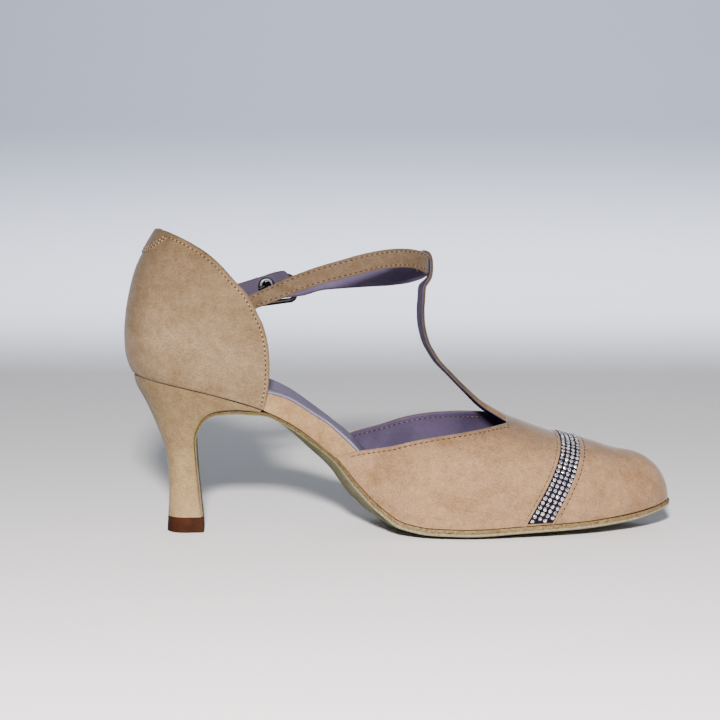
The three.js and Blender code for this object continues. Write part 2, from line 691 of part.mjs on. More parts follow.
const loopPlace = shoeLength - loopFromToe;
const strapGap = clearance + strapThickness / 2;
const onCounter = (along, up) => [counterDepth * along, seatHeight + counterHeight * up];

// Place from a row of the ankle strap's table.
function anklePoint(row) {
  return [lerp(counterDepth, loopPlace, row.along), row.out * ballWidth, seatHeight + row.up * counterHeight];
}

const farthest = ankleSections.reduce((best, row) => (row.along > best.along ? row : best));
const loopMiddle = new THREE.Vector3(...anklePoint(farthest));

// Out from the counter's inner side, round the ankle, through the buckle and over the counter's outer side.
function ankleRoute() {
  const start = [[0.70, 0.427, 1], [0.813, 0.470, 1], [0.911, 0.511, 0.2]]
    .map(([along, up, share]) => alongCounter(...onCounter(along, up), -1, strapWidth * share, -strapGap));
  const under = -(buckleWire / 2 + strapGap + 0.25);
  const over = buckleWire / 2 + prongWire + clearance + strapGap;
  const through = [
    [0.62, under], [0.46, under], [0.31, lerp(under, over, 0.09)], [0.11, lerp(under, over, 0.26)],
    [-0.14, lerp(under, over, 0.58)], [-0.34, lerp(under, over, 0.9)], [-0.5, over + 0.2],
  ].map(([along, out]) => buckleSpot(along * buckleLength, out, 0).toArray());
  const [, , low] = through.at(-1);
  const end = [[0.80, 1.6], [0.71, 0.2], [0.61, 0]].map(([along, more]) => alongCounter(
    counterDepth * along, low - (0.85 - along) * 9, 1, strapWidth, strapGap + more));
  return [...start, ...ankleSections.map(anklePoint), ...through, ...end];
}

function ankleStrapSolid() {
  const strap = ribbon(ankleRoute(), 66, strapThickness,
    (t) => strapWidth * lerp(strapTaper, 1, clamp01(t / 0.22)) * roundEnd(t, 0.02),
    () => new THREE.Vector3(0, 0, 1));
  return strap.subtract(wire(prongRoute(), false, prongWire + 2 * clearance, 6, 24));
}

// Short strap's middle line from inside the counter forward. along: share of counterDepth;
// up: of counterHeight; past the counter it leaves the foot by a share of strapWidth.
function shortStrapRoute() {
  const inside = [[0.683, 0.507], [0.813, 0.529]]
    .map(([along, up]) => alongCounter(...onCounter(along, up), 1, shortStrapWidth, -strapGap));
  const out = inside.at(-1)[1];
  const free = [[0.911, 0.559, -0.01], [0.992, 0.583, 0.02], [1.073, 0.609, 0.06], [1.160, 0.622, 0.10]]
    .map(([along, up, more]) => [counterDepth * along, out + strapWidth * more, onCounter(along, up)[1]]);
  return [...inside, ...free];
}

// The grommet lies flat on the short strap.
const [grommetRear, grommetPlace, grommetFront] = shortStrapRoute().slice(2, 5)
  .map((point) => new THREE.Vector3(...point));
const grommetTurn = new THREE.Matrix4()
  .makeRotationZ(Math.atan2(grommetFront.y - grommetRear.y, grommetFront.x - grommetRear.x))
  .setPosition(grommetPlace);

// Flat ring pressed through the short strap.
function grommetSolid() {
  const outer = grommetOuter / 2;
  const hole = grommetHole / 2;
  const half = strapThickness / 2;
  const barrel = (outer + hole) / 2;
  const top = half + grommetRim;
  const profile = [
    [hole, -top], [outer, -top], [outer, -half - clearance], [barrel, -half - clearance],
    [barrel, half + clearance], [outer, half + clearance], [outer, top], [hole, top], [hole, -top],
  ].map(([x, y]) => new THREE.Vector2(x, y));
  const geometry = new THREE.LatheGeometry(profile, 20);
  geometry.applyMatrix4(grommetTurn);
  return solidOfGeometry(geometry);
}

function shortStrapSolid() {
  const strap = ribbon(shortStrapRoute(), 16, strapThickness,
    (t) => shortStrapWidth * roundEnd(t, 0.1), () => new THREE.Vector3(0, 0, 1));
  const barrel = (grommetOuter + grommetHole) / 4 + clearance;
  const drill = new THREE.CylinderGeometry(barrel, barrel, 12, 20);
  drill.applyMatrix4(grommetTurn);
  return strap.subtract(solidOfGeometry(drill));
}

// Places in the buckle's own plane: along the strap, out from the foot, and up.
const buckleMiddle = new THREE.Vector3(
  counterDepth + buckleFromCounter, grommetPlace.y + buckleFromStrap, seatHeight + counterHeight * 0.545);

const buckleTurn = new THREE.Matrix4()
  .makeRotationY(-THREE.MathUtils.degToRad(buckleTilt))
  .setPosition(buckleMiddle);

const buckleSpot = (along, out, up) => new THREE.Vector3(along, out, up).applyMatrix4(buckleTurn);

const hingeBar = (buckleWire - buckleLength) / 2;

// Hook from the hinge bar through the grommet, past the inner face of the short strap and back.
function buckleHookSolid() {
  const bar = new THREE.Vector3(hingeBar, 0, prongWire / 2 + hookWire / 2 + clearance * 2);
  const hole = grommetPlace.clone().applyMatrix4(buckleTurn.clone().invert());
  const inner = hole.y - strapThickness / 2 - grommetRim - clearance - hookWire / 2;
  const route = [
    [bar.x, bar.y, bar.z], [lerp(bar.x, hole.x, 0.35), hole.y * 0.18, bar.z],
    [lerp(bar.x, hole.x, 0.8), hole.y * 0.42, hole.z], [hole.x, hole.y * 0.75, hole.z],
    [hole.x, hole.y - strapThickness / 2, hole.z], [hole.x - hookWire * 0.5, inner + 0.15, hole.z],
    [hole.x - hookWire * 1.4, inner, hole.z - 0.4], [hole.x - hookWire * 2.6, inner, hole.z - 1],
  ].map(([along, out, up]) => buckleSpot(along, out, up));
  return wire(route, false, hookWire, 6, 16);
}

function buckleFrameSolid() {
  const reach = (buckleLength - buckleWire) / 2;
  const rise = (buckleHeight - buckleWire) / 2;
  const corner = buckleHeight * 0.18;
  const bend = (sx, sz) => [0, 0.5, 1].map((t) => {
    const angle = t * Math.PI / 2;
    const from = sx * sz > 0 ? angle : Math.PI / 2 - angle;
    return buckleSpot(sx * (reach - corner + corner * Math.sin(from)), 0,
      sz * (rise - corner + corner * Math.cos(from)));
  });
  const route = [...bend(1, 1), ...bend(1, -1), ...bend(-1, -1), ...bend(-1, 1)];
  return wire(route, true, buckleWire, 8, 32).add(buckleHookSolid());
}

// The prong hooks round the hinge bar, comes up through a hole in the strap and lies on the far bar.
function prongRoute() {
  const hook = (buckleWire + prongWire) / 2 + clearance;
  const peak = hook + strapThickness + 1;
  return [
    [hingeBar - hook * 0.5, hook * 0.87], [hingeBar - hook, 0], [hingeBar - hook * 0.5, -hook * 0.87],
    [hingeBar + hook * 0.5, -hook * 0.87], [hingeBar + hook * 1.05, hook * 0.45],
    [hingeBar + hook * 1.3, peak * 0.65], [hingeBar + hook * 2, peak], [hingeBar + hook * 3, peak * 0.97],
    [0, peak * 0.75], [-hingeBar - hook * 1.6, hook + 0.4], [-hingeBar + hook * 0.2, hook + 0.05],
    [-hingeBar + hook * 0.55, hook],
  ].map(([along, out]) => buckleSpot(along, out, 0));
}

function buckleProngSolid() {
  return wire(prongRoute(), false, prongWire, 6, 24);
}

function meshOf(solid) {
  const { numProp, vertProperties, triVerts } = solid.getMesh();
  const geometry = new THREE.BufferGeometry();
  const positions = new Float32Array(triVerts.length * 3);
  triVerts.forEach((vertex, i) => {
    for (let axis = 0; axis < 3; axis += 1) positions[3 * i + axis] = vertProperties[numProp * vertex + axis];
  });
  geometry.setAttribute('position', new THREE.BufferAttribute(positions, 3));
  geometry.computeVertexNormals();
  return geometry;
}

const suede = { color: 0xc3a184, roughness: 0.9, metalness: 0 };
const heelSuede = { color: 0xd2ae8c, roughness: 0.9, metalness: 0 };
const lining = { color: 0x8d7fa3, roughness: 0.6, metalness: 0 };
const soleLeather = { color: 0xb49a5f, roughness: 0.85, metalness: 0 };
const darkMetal = { color: 0x34312f, roughness: 0.3, metalness: 1 };

const pieces = [
  ['outsole', outsoleSolid, soleLeather],
  ['heel', heelSolid, heelSuede],
  ['heel_top_piece', topPieceSolid, { color: 0x6b3418, roughness: 0.5, metalness: 0 }],
  ['insole_board', insoleSolid, suede],
  ['sock', sockSolid, lining],
  ['vamp', vampSolid, suede],
  ['counter', counterSolid, suede],
  ['back_tab', backTabSolid, suede],
  ['crystal_band', bandSolid, { color: 0x26222c, roughness: 0.3, metalness: 0.2 }],
  ['ankle_strap', ankleStrapSolid, suede],
  ['buckle_strap', shortStrapSolid, lining],
  ['buckle_frame', buckleFrameSolid, darkMetal],
  ['buckle_prong', buckleProngSolid, darkMetal],
  ['strap_grommet', grommetSolid, { color: 0x8f9494, roughness: 0.25, metalness: 1 }],
];

const shoe = new THREE.Group();
for (const [name, build, finish] of pieces) {
  const mesh = new THREE.Mesh(meshOf(build()), new THREE.MeshStandardMaterial(finish));
  mesh.name = name;
  shoe.add(mesh);
}

// The origin is under the middle of the whole shoe's box.
const box = new THREE.Box3().setFromObject(shoe);
shoe.position.set(-(box.min.x + box.max.x) / 2, -(box.min.y + box.max.y) / 2, -box.min.z);

export default shoe;
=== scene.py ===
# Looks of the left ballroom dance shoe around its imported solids.
import math
import random

import bmesh
import bpy
import numpy as np
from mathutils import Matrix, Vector


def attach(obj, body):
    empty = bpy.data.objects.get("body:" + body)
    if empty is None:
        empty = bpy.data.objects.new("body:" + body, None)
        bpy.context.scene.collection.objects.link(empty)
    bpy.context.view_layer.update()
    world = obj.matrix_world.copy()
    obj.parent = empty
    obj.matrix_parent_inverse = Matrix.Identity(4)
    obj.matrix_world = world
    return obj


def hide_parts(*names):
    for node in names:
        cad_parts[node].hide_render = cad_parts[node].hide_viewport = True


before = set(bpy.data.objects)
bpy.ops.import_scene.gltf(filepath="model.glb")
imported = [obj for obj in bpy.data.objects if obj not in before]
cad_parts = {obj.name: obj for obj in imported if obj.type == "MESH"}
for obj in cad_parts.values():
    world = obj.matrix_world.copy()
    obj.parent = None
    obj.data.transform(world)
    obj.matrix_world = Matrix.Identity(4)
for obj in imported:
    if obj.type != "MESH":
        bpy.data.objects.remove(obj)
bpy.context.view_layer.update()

random.seed(7)

# Shapes are worked out in millimetres, x from the heel's rearmost point and z from the floor.
last = {
    "length": 235.0,
    "ball": 75.0,
    "heelRise": 63.9,
    "toeSpring": 7.7,
    "edgeLift": 4.5,
    "sole": 2.8,
    "margin": 0.6,
    "bed": 11.0,
    "sock": 1.0,
    "bow": 5.2,
    "gap": 0.3,
    "seatInset": 4.0,
    "seatLength": 24.0,
    "toeCap": 47.0,
    "toeTip": 22.0,
    "middle": (117.8155, -0.012),   # under the middle of the whole shoe
    "rows": {
        "at": (0, .1, .18, .25, .3, .345, .38, .42, .46, .5, .55, .62, .72, .82, .9, .96, 1),
        "rise": (1, .925, .85, .765, .673, .556, .454, .28, .133, .039, .006, 0, 0, 0, 0, 0, 0),
        "spring": (0, 0, 0, 0, 0, 0, 0, 0, 0, 0, 0, 0, .14, .25, .45, .71, 1),
        "bow": (0, 0, 0, 0, .4, .68, .82, .78, .62, .46, .38, .38, .31, .27, .19, .08, 0),
        "sole": (.5, .5, .5, .5, .6, .65, .7, .8, .9, 1, 1, 1, 1, 1, 1, .9, .8),
        "bed": (.6, .62, .7, .82, .93, 1, 1.08, 1.38, 1.38, 1, .6, .36, .34, .34, .34, .34, .34),
        "inner": (.33, .33, .322, .285, .262, .258, .272, .315, .375, .43, .475, .5, .475, .405,
                  .335, .29, .26),
        "outer": (.33, .33, .322, .29, .28, .295, .325, .375, .425, .465, .495, .5, .46, .405,
                  .345, .3, .27),
    },
}


def lerp(a, b, t):
    return a + (b - a) * t


def clamp(value):
    return np.clip(value, 0.0, 1.0)


def ease(value):
    t = clamp(value)
    return t * t * (3 - 2 * t)


# Smooth curve through one column of a table, which never swings past its rows
def column(table, name, at):
    place = np.array(table["at"], float)
    value = np.array(table[name], float)
    slope = np.diff(value) / np.diff(place)
    before, after = slope[:-1], slope[1:]
    total = np.where(before * after > 0, before + after, 1.0)
    even = np.where(before * after > 0, 2 * before * after / total, 0.0)
    slopes = np.concatenate([slope[:1], even, slope[-1:]])
    i = np.clip(np.searchsorted(place, at), 1, len(place) - 1)
    span = place[i] - place[i - 1]
    t = clamp((at - place[i - 1]) / span)
    square, cube = t * t, t * t * t
    return (value[i - 1] * (2 * cube - 3 * square + 1) + value[i] * (3 * square - 2 * cube)
            + slopes[i - 1] * span * (cube - 2 * square + t) + slopes[i] * span * (cube - square))


def lastAt(x, name):
    return column(last["rows"], name, np.asarray(x, float) / last["length"])


# Height of the upper's lower edge, which the sole follows
def edgeHeight(x):
    return (last["edgeLift"] + last["heelRise"] * lastAt(x, "rise")
            + last["toeSpring"] * lastAt(x, "spring"))


# How much taller a thickness stands where the shoe slopes
def upright(x):
    return np.hypot(1, edgeHeight(x + 0.5) - edgeHeight(x - 0.5))


def bedHeight(x):
    return edgeHeight(x) + last["bed"] * lastAt(x, "bed")


# Share of the full width that is left near the round ends of the sole
def endRounding(x, tip):
    capStart = last["length"] - last["toeCap"]
    toe = clamp((x - capStart) / (tip - capStart))
    heel = 1 - clamp((x - last["seatInset"]) / last["seatLength"])
    return np.sqrt(1 - toe ** 2.3) * np.sqrt(1 - heel ** 2.2)


def fullWidth(x, side):
    return last["ball"] * np.where(side < 0, lastAt(x, "inner"), lastAt(x, "outer"))


def soleMiddle(x, y):
    bow = last["bow"] * lastAt(x, "bow") * upright(x)
    return edgeHeight(x) - bow * (1 - clamp(np.abs(y) / fullWidth(x, y)) ** 2)


def point(x, y, z):
    return np.stack(np.broadcast_arrays(x, y, z), -1).astype(float)


def unit(vectors):
    return vectors / np.maximum(np.linalg.norm(vectors, axis=-1, keepdims=True), 1e-9)


# How far a rounded edge of that radius has dropped, at a distance from the edge
def rolled(distance, radius):
    inside = radius - np.clip(distance, 0, radius)
    return radius - np.sqrt(np.maximum(radius ** 2 - inside ** 2, 0))


# Points along a smooth curve through a route, with the share of the route at each
def curveThrough(route, count):
    p = np.array(route, float)
    p = np.vstack([2 * p[0] - p[1], p, 2 * p[-1] - p[-2]])
    pieces = len(p) - 3
    share = np.linspace(0, 1, count + 1)
    i = np.minimum((share * pieces).astype(int), pieces - 1)
    t = (share * pieces - i)[:, None]
    steps = np.sqrt(np.maximum(np.linalg.norm(np.diff(p, axis=0), axis=1), 1e-6))
    a, b, c = (steps[i + k][:, None] for k in range(3))
    p0, p1, p2, p3 = (p[i + k] for k in range(4))
    start = ((p1 - p0) / a - (p2 - p0) / (a + b) + (p2 - p1) / b) * b
    end = ((p2 - p1) / b - (p3 - p1) / (b + c) + (p3 - p2) / c) * b
    square, cube = t * t, t * t * t
    line = (p1 * (2 * cube - 3 * square + 1) + p2 * (3 * square - 2 * cube)
            + start * (cube - 2 * square + t) + end * (cube - square))
    return share, line


def lineLength(line):
    steps = np.linalg.norm(np.diff(line, axis=0), axis=1)
    return np.concatenate([[0], np.cumsum(steps)])


def atLength(line, lengths, wanted):
    return np.stack([np.interp(wanted, lengths, line[:, k]) for k in range(line.shape[1])], -1)


def evenly(line, count):
    lengths = lineLength(line)
    return atLength(line, lengths, np.linspace(0, lengths[-1], count + 1))


# Shares from 0 to 1 that crowd towards one or both ends
def crowded(count, start, end, power):
    t = np.linspace(0, 1, count + 1)
    if start and end:
        return np.where(t < 0.5, (2 * t) ** power / 2, 1 - (2 - 2 * t) ** power / 2)
    return t ** power if start else 1 - (1 - t) ** power


# Halves the span between low and high until it closes on where the test turns true
def halved(low, high, isPast, rounds=30):
    for _ in range(rounds):
        middle = (low + high) / 2
        past = isPast(middle)
        high = np.where(past, middle, high)
        low = np.where(past, low, middle)
    return (low + high) / 2


# Quads between the points of a grid; wrap joins its last column to its first
def gridFaces(rows, columns, wrap=False, base=0):
    i, j = np.meshgrid(np.arange(rows - 1), np.arange(columns if wrap else columns - 1), indexing="ij")
    k = (j + 1) % columns
    corners = np.stack([i * columns + j, i * columns + k, (i + 1) * columns + k, (i + 1) * columns + j], -1)
    return (corners.reshape(-1, 4) + base).tolist()


# Closed sheet between two grids that face each other
def closedSheet(front, back):
    rows, columns = front.shape[:2]
    verts = np.vstack([front.reshape(-1, 3), back.reshape(-1, 3)])
    other = rows * columns
    rim = ([j for j in range(columns)] + [i * columns + columns - 1 for i in range(1, rows)]
           + [(rows - 1) * columns + j for j in range(columns - 2, -1, -1)]
           + [i * columns for i in range(rows - 2, 0, -1)])
    faces = gridFaces(rows, columns) + [f[::-1] for f in gridFaces(rows, columns, base=other)]
    faces += [[a, b, b + other, a + other] for a, b in zip(rim, rim[1:] + rim[:1])]
    return verts, faces


# Closed tube of rings, each a loop of points
def closedTube(rings, joined=False):
    rows, columns = rings.shape[:2]
    if joined:
        rings = np.concatenate([rings, rings[:1]])
        rows += 1
    faces = gridFaces(rows, columns, wrap=True)
    if not joined:
        faces += [list(range(columns)), list(range((rows - 1) * columns, rows * columns))]
    return rings.reshape(-1, 3), faces


# Round wire along a line of points
def wireTube(line, radius, sides=14, joined=False):
    along = unit(np.gradient(line, axis=0))
    if joined:
        along = unit(np.roll(line, -1, 0) - np.roll(line, 1, 0))
    normal = unit(np.cross(along[0], (0.13, 0.27, 0.95)))
    normals = []
    for direction in along:
        normal = unit(normal - direction * np.dot(normal, direction))
        normals.append(normal)
    normals = np.array(normals)
    if joined:
        # the twist that is left where the ends meet is shared out along the wire
        other = np.cross(along, normals)
        drift = math.atan2(np.dot(normals[-1], other[0]), np.dot(normals[-1], normals[0]))
        turn = -drift * np.linspace(0, 1, len(line))[:, None]
        normals = normals * np.cos(turn) + other * np.sin(turn)
    other = np.cross(along, normals)
    angle = np.linspace(0, 2 * math.pi, sides, endpoint=False)
    radius = np.broadcast_to(radius, len(line))[:, None, None]
    ring = (normals[:, None] * np.cos(angle)[None, :, None] + other[:, None] * np.sin(angle)[None, :, None])
    return closedTube(line[:, None] + ring * radius, joined)


# Solids, each a pair of points and faces, as one mesh in metres
def makeMesh(name, solids, sharp=40):
    verts, faces, base = [], [], 0
    for points, polygons in solids:
        verts.append(points)
        faces += [[v + base for v in face] for face in polygons]
        base += len(points)
    verts = np.vstack(verts)
    verts[:, 0] -= last["middle"][0]
    verts[:, 1] -= last["middle"][1]
    mesh = bpy.data.meshes.new(name)
    mesh.from_pydata((verts * 0.001).tolist(), [], faces)
    work = bmesh.new()
    work.from_mesh(mesh)
    bmesh.ops.remove_doubles(work, verts=work.verts, dist=2e-7)
    bmesh.ops.dissolve_degenerate(work, edges=work.edges, dist=1e-7)
    bmesh.ops.recalc_face_normals(work, faces=work.faces)
    work.to_mesh(mesh)
    work.free()
    mesh.shade_smooth()
    mesh.set_sharp_from_angle(angle=math.radians(sharp))
    return mesh


# slotName, the kind of finish, is not used; nodes are the CAD solids that the piece stands for
def makePiece(name, solids, material, slotName, *nodes, sharp=40):
    mesh = makeMesh(name, solids, sharp)
    mesh.materials.append(material)
    piece = bpy.data.objects.new(name, mesh)
    bpy.context.collection.objects.link(piece)
    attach(piece, "root")
    if nodes:
        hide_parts(*nodes)
    return piece


# sRGB hex colour to linear RGBA
def colour(code):
    parts = [int(code[i:i + 2], 16) / 255 for i in (0, 2, 4)]
    linear = [p / 12.92 if p <= 0.04045 else ((p + 0.055) / 1.055) ** 2.4 for p in parts]
    return (*linear, 1.0)


# Adds a node; a value in links is a socket to join or a plain setting of the input
def addNode(tree, kind, links=None, **settings):
    made = tree.nodes.new(kind)
    for name, value in settings.items():
        setattr(made, name, value)
    for name, value in (links or {}).items():
        if isinstance(value, bpy.types.NodeSocket):
            tree.links.new(value, made.inputs[name])
        else:
            made.inputs[name].default_value = value
    return made


def newMaterial(name, roughness, ior=1.5, metallic=0.0, **sockets):
    material = bpy.data.materials.new(name)
    material.use_nodes = True
    tree = material.node_tree
    shader = tree.nodes["Principled BSDF"]
    shader.inputs["Roughness"].default_value = roughness
    shader.inputs["IOR"].default_value = ior
    shader.inputs["Metallic"].default_value = metallic
    for label, value in sockets.items():
        shader.inputs[label.replace("_", " ")].default_value = value
    place = addNode(tree, "ShaderNodeTexCoord").outputs["Object"]
    return material, tree, shader, place


# Noise whose features are about that many millimetres wide
def cloud(tree, place, size, detail=3.0, rough=0.55, **more):
    return addNode(tree, "ShaderNodeTexNoise",
                   {"Vector": place, "Scale": 1000 / size, "Detail": detail, "Roughness": rough, **more})


def ramp(tree, factor, stops):
    made = addNode(tree, "ShaderNodeValToRGB", {"Fac": factor})
    elements = made.color_ramp.elements
    while len(elements) < len(stops):
        elements.new(0.5)
    for element, (place, code) in zip(elements, stops):
        element.position = place
        element.color = colour(code)
    return made.outputs["Color"]


# Relief of that many millimetres
def bump(tree, shader, height, distance, strength):
    made = addNode(tree, "ShaderNodeBump",
                   {"Height": height, "Distance": distance * 0.001, "Strength": strength})
    tree.links.new(made.outputs["Normal"], shader.inputs["Normal"])


def mixed(tree, factor, a, b, blend="MIX"):
    return addNode(tree, "ShaderNodeMix", {0: factor, 6: a, 7: b},
                   data_type="RGBA", blend_type=blend).outputs[2]


# Factor that grows from 0 to 1 between two heights, in metres
def byHeight(tree, place, bottom, top, **settings):
    height = addNode(tree, "ShaderNodeSeparateXYZ", {"Vector": place}).outputs["Z"]
    return addNode(tree, "ShaderNodeMapRange", {"Value": height, "From Min": bottom, "From Max": top},
                   **settings).outputs["Result"]


# Kid suede: a brushed nap, dull, with clouds where the nap lies another way
suede = {
    "cloudSize": 15.0,
    "patchSize": 3.6,
    "grainSize": 0.62,      # real nap is finer; drawn just coarse enough to show
    "fibreSize": 1.5,
    "nap": 0.12,
}


def makeSuede(name, light, middle, dark, sheen, wearAndShade=None, greyFrom=0.01, greyTo=0.058):
    material, tree, shader, place = newMaterial(
        name, 0.92, Sheen_Weight=sheen, Sheen_Roughness=0.45, Sheen_Tint=colour("dfe6f4"),
        Specular_IOR_Level=0.06)
    drift = addNode(tree, "ShaderNodeMapping", {"Vector": place, "Scale": (0.8, 1.0, 1.15)})
    broad = cloud(tree, drift.outputs["Vector"], suede["cloudSize"], 3.5, 0.55, Distortion=0.4)
    patch = cloud(tree, place, suede["patchSize"], 4.0, 0.65)
    combed = addNode(tree, "ShaderNodeMapping", {"Vector": place, "Rotation": (0.0, 0.6, 0.2),
                                                 "Scale": (1.0, 1.0, 2.6)})
    fibre = cloud(tree, combed.outputs["Vector"], suede["fibreSize"], 3.0, 0.7)
    grain = cloud(tree, place, suede["grainSize"], 2.0, 0.6)
    base = ramp(tree, broad.outputs["Fac"], [(0.3, dark), (0.5, middle), (0.7, light)])
    patched = ramp(tree, patch.outputs["Fac"], [(0.36, "d6cfc8"), (0.6, "ffffff")])
    combedTone = ramp(tree, fibre.outputs["Fac"], [(0.34, "cfc6bd"), (0.6, "ffffff")])
    grained = ramp(tree, grain.outputs["Fac"], [(0.33, "c2b9b0"), (0.58, "ffffff")])
    tinted = mixed(tree, 0.5, base, patched, "MULTIPLY")
    tinted = mixed(tree, 0.45, tinted, combedTone, "MULTIPLY")
    final = mixed(tree, 0.55, tinted, grained, "MULTIPLY")
    if wearAndShade:
        # greyer and darker higher up; on the heel this is painted shade towards its top
        greyed = mixed(tree, 1.0, final, colour(wearAndShade), "MULTIPLY")
        final = mixed(tree, byHeight(tree, place, greyFrom, greyTo), final, greyed)
    tree.links.new(final, shader.inputs["Base Color"])
    bump(tree, shader, grain.outputs["Fac"], suede["nap"], 0.6)
    return material


# Kid lining leather: dyed dusky lavender, plated smooth, with a faint grain and a soft gloss
def makeLining(name, light, dark, roughness):
    material, tree, shader, place = newMaterial(name, roughness, 1.48, Specular_IOR_Level=0.25)
    broad = cloud(tree, place, 12.0, 3.0)
    fine = cloud(tree, place, 0.7, 2.0)
    base = ramp(tree, broad.outputs["Fac"], [(0.35, dark), (0.65, light)])
    flecks = ramp(tree, fine.outputs["Fac"], [(0.35, "d8d4dc"), (0.6, "ffffff")])
    tree.links.new(mixed(tree, 0.5, base, flecks, "MULTIPLY"), shader.inputs["Base Color"])
    cells = addNode(tree, "ShaderNodeTexVoronoi", {"Vector": place, "Scale": 1000 / 0.8},
                    feature="DISTANCE_TO_EDGE")
    bump(tree, shader, cells.outputs["Distance"], 0.05, 0.35)
    return material


# Sole edges turn darker and olive higher up, where they leave the floor at the waist and the breast;
# heights in metres
edgeOlive = {
    "tint": "b4b48e",
    "bottom": 0.012,
    "top": 0.03,
}


def oliveUpwards(tree, place, tone):
    olive = mixed(tree, 1.0, tone, colour(edgeOlive["tint"]), "MULTIPLY")
    return mixed(tree, byHeight(tree, place, edgeOlive["bottom"], edgeOlive["top"]), tone, olive)


# Vegetable-tanned sole leather: its cut edge is raw, fibrous and speckled yellow tan
def makeSoleEdge():
    material, tree, shader, place = newMaterial("soleEdgeLeather", 0.8, Specular_IOR_Level=0.3)
    speck = cloud(tree, place, 0.9, 4.0, 0.7)
    broad = cloud(tree, place, 9.0, 3.0)
    base = ramp(tree, speck.outputs["Fac"],
                [(0.3, "2a2011"), (0.42, "514127"), (0.55, "675639"), (0.68, "7b694b")])
    tone = ramp(tree, broad.outputs["Fac"], [(0.35, "d9cfc0"), (0.6, "ffffff")])
    toned = mixed(tree, 0.6, base, tone, "MULTIPLY")
    tree.links.new(oliveUpwards(tree, place, toned), shader.inputs["Base Color"])
    bump(tree, shader, speck.outputs["Fac"], 0.16, 0.7)
    return material


# Flesh layer of the sole leather: paler, its cut edge fuzzy
def makeSoleSplit():
    material, tree, shader, place = newMaterial("soleSplitEdge", 0.9, Sheen_Weight=0.2)
    fuzz = cloud(tree, place, 0.8, 4.0, 0.7)
    base = ramp(tree, fuzz.outputs["Fac"], [(0.32, "4e4734"), (0.5, "6b644e"), (0.66, "827d69")])
    tree.links.new(oliveUpwards(tree, place, base), shader.inputs["Base Color"])
    bump(tree, shader, fuzz.outputs["Fac"], 0.16, 0.7)
    return material


# Chrome-tanned sole suede: grey green, roughened for grip, scuffed dark where it treads
def makeTread():
    material, tree, shader, place = newMaterial("chromeSuede", 0.95, Specular_IOR_Level=0.15)
    nap = cloud(tree, place, 0.8, 3.0, 0.65)
    broad = cloud(tree, place, 14.0, 4.0)
    base = ramp(tree, broad.outputs["Fac"], [(0.35, "4d4c36"), (0.5, "5d5b44"), (0.65, "6a6851")])
    flecks = ramp(tree, nap.outputs["Fac"], [(0.35, "b9b5ad"), (0.6, "ffffff")])
    tree.links.new(mixed(tree, 0.7, base, flecks, "MULTIPLY"), shader.inputs["Base Color"])
    bump(tree, shader, nap.outputs["Fac"], 0.15, 0.6)
    return material


# Top piece: dense brown tread rubber, moulded, dull with fine sanding lines on its side
def makeTopPieceRubber():
    material, tree, shader, place = newMaterial("topPieceRubber", 0.8, Specular_IOR_Level=0.1)
    lines = addNode(tree, "ShaderNodeMapping", {"Vector": place, "Scale": (1.0, 1.0, 9.0)})
    sanded = cloud(tree, lines.outputs["Vector"], 2.2, 3.0)
    broad = cloud(tree, place, 6.0, 2.0)
    base = ramp(tree, broad.outputs["Fac"], [(0.3, "261004"), (0.7, "341808")])
    streak = ramp(tree, sanded.outputs["Fac"], [(0.35, "c8bcb4"), (0.65, "ffffff")])
    tree.links.new(mixed(tree, 0.6, base, streak, "MULTIPLY"), shader.inputs["Base Color"])
    bump(tree, shader, sanded.outputs["Fac"], 0.06, 0.4)
    return material


# Polyester thread: twisted, with a slight gloss
def makeThread(name, light, dark):
    material, tree, shader, place = newMaterial(name, 0.45, Sheen_Weight=0.2)
    twist = cloud(tree, place, 7.0, 1.0)
    tree.links.new(ramp(tree, twist.outputs["Fac"], [(0.4, dark), (0.58, light)]),
                   shader.inputs["Base Color"])
    return material


# Needle holes and crevices: dark leather colour, painted shade in the hollow
def makeHoleShade():
    material, tree, shader, place = newMaterial("needleHoleShade", 0.9, Specular_IOR_Level=0.1)
    broad = cloud(tree, place, 4.0, 1.0)
    tree.links.new(ramp(tree, broad.outputs["Fac"], [(0.3, "241710"), (0.7, "3d291b")]),
                   shader.inputs["Base Color"])
    return material


# Foil-backed cut glass: it mirrors the room, and each facet also gets a painted glint, a random brightness
# from cold white to violet grey
def makeCrystal():
    material, tree, shader, place = newMaterial("foiledCrystal", 0.12, metallic=0.7)
    shape = addNode(tree, "ShaderNodeNewGeometry")
    # painted reflection: a random brightness on each facet stands in for the light the pavilion throws back
    spread = addNode(tree, "ShaderNodeVectorMath", {0: shape.outputs["True Normal"], 1: (37.0, 41.0, 43.0)},
                     operation="MULTIPLY")
    facet = addNode(tree, "ShaderNodeTexWhiteNoise",
                    {"Vector": spread.outputs["Vector"], "W": shape.outputs["Random Per Island"]},
                    noise_dimensions="4D")
    paintedGlints = ramp(tree, facet.outputs["Value"],
                 [(0.0, "1c1c26"), (0.22, "504f5d"), (0.42, "9695a4"), (0.62, "dddce6"), (1.0, "ffffff")])
    tree.links.new(paintedGlints, shader.inputs["Base Color"])
    return material


# Black-dyed mesh under the crystals: dull and dark, with a painted violet shimmer on its knots
def makeBandCloth():
    material, tree, shader, place = newMaterial("blackBandCloth", 0.8, Specular_IOR_Level=0.08)
    knotsAndGlints = cloud(tree, place, 0.9, 2.0)
    tree.links.new(ramp(tree, knotsAndGlints.outputs["Fac"], [(0.35, "040406"), (0.55, "0c0a12"), (0.7, "1d1730")]),
                   shader.inputs["Base Color"])
    bump(tree, shader, knotsAndGlints.outputs["Fac"], 0.2, 0.6)
    return material


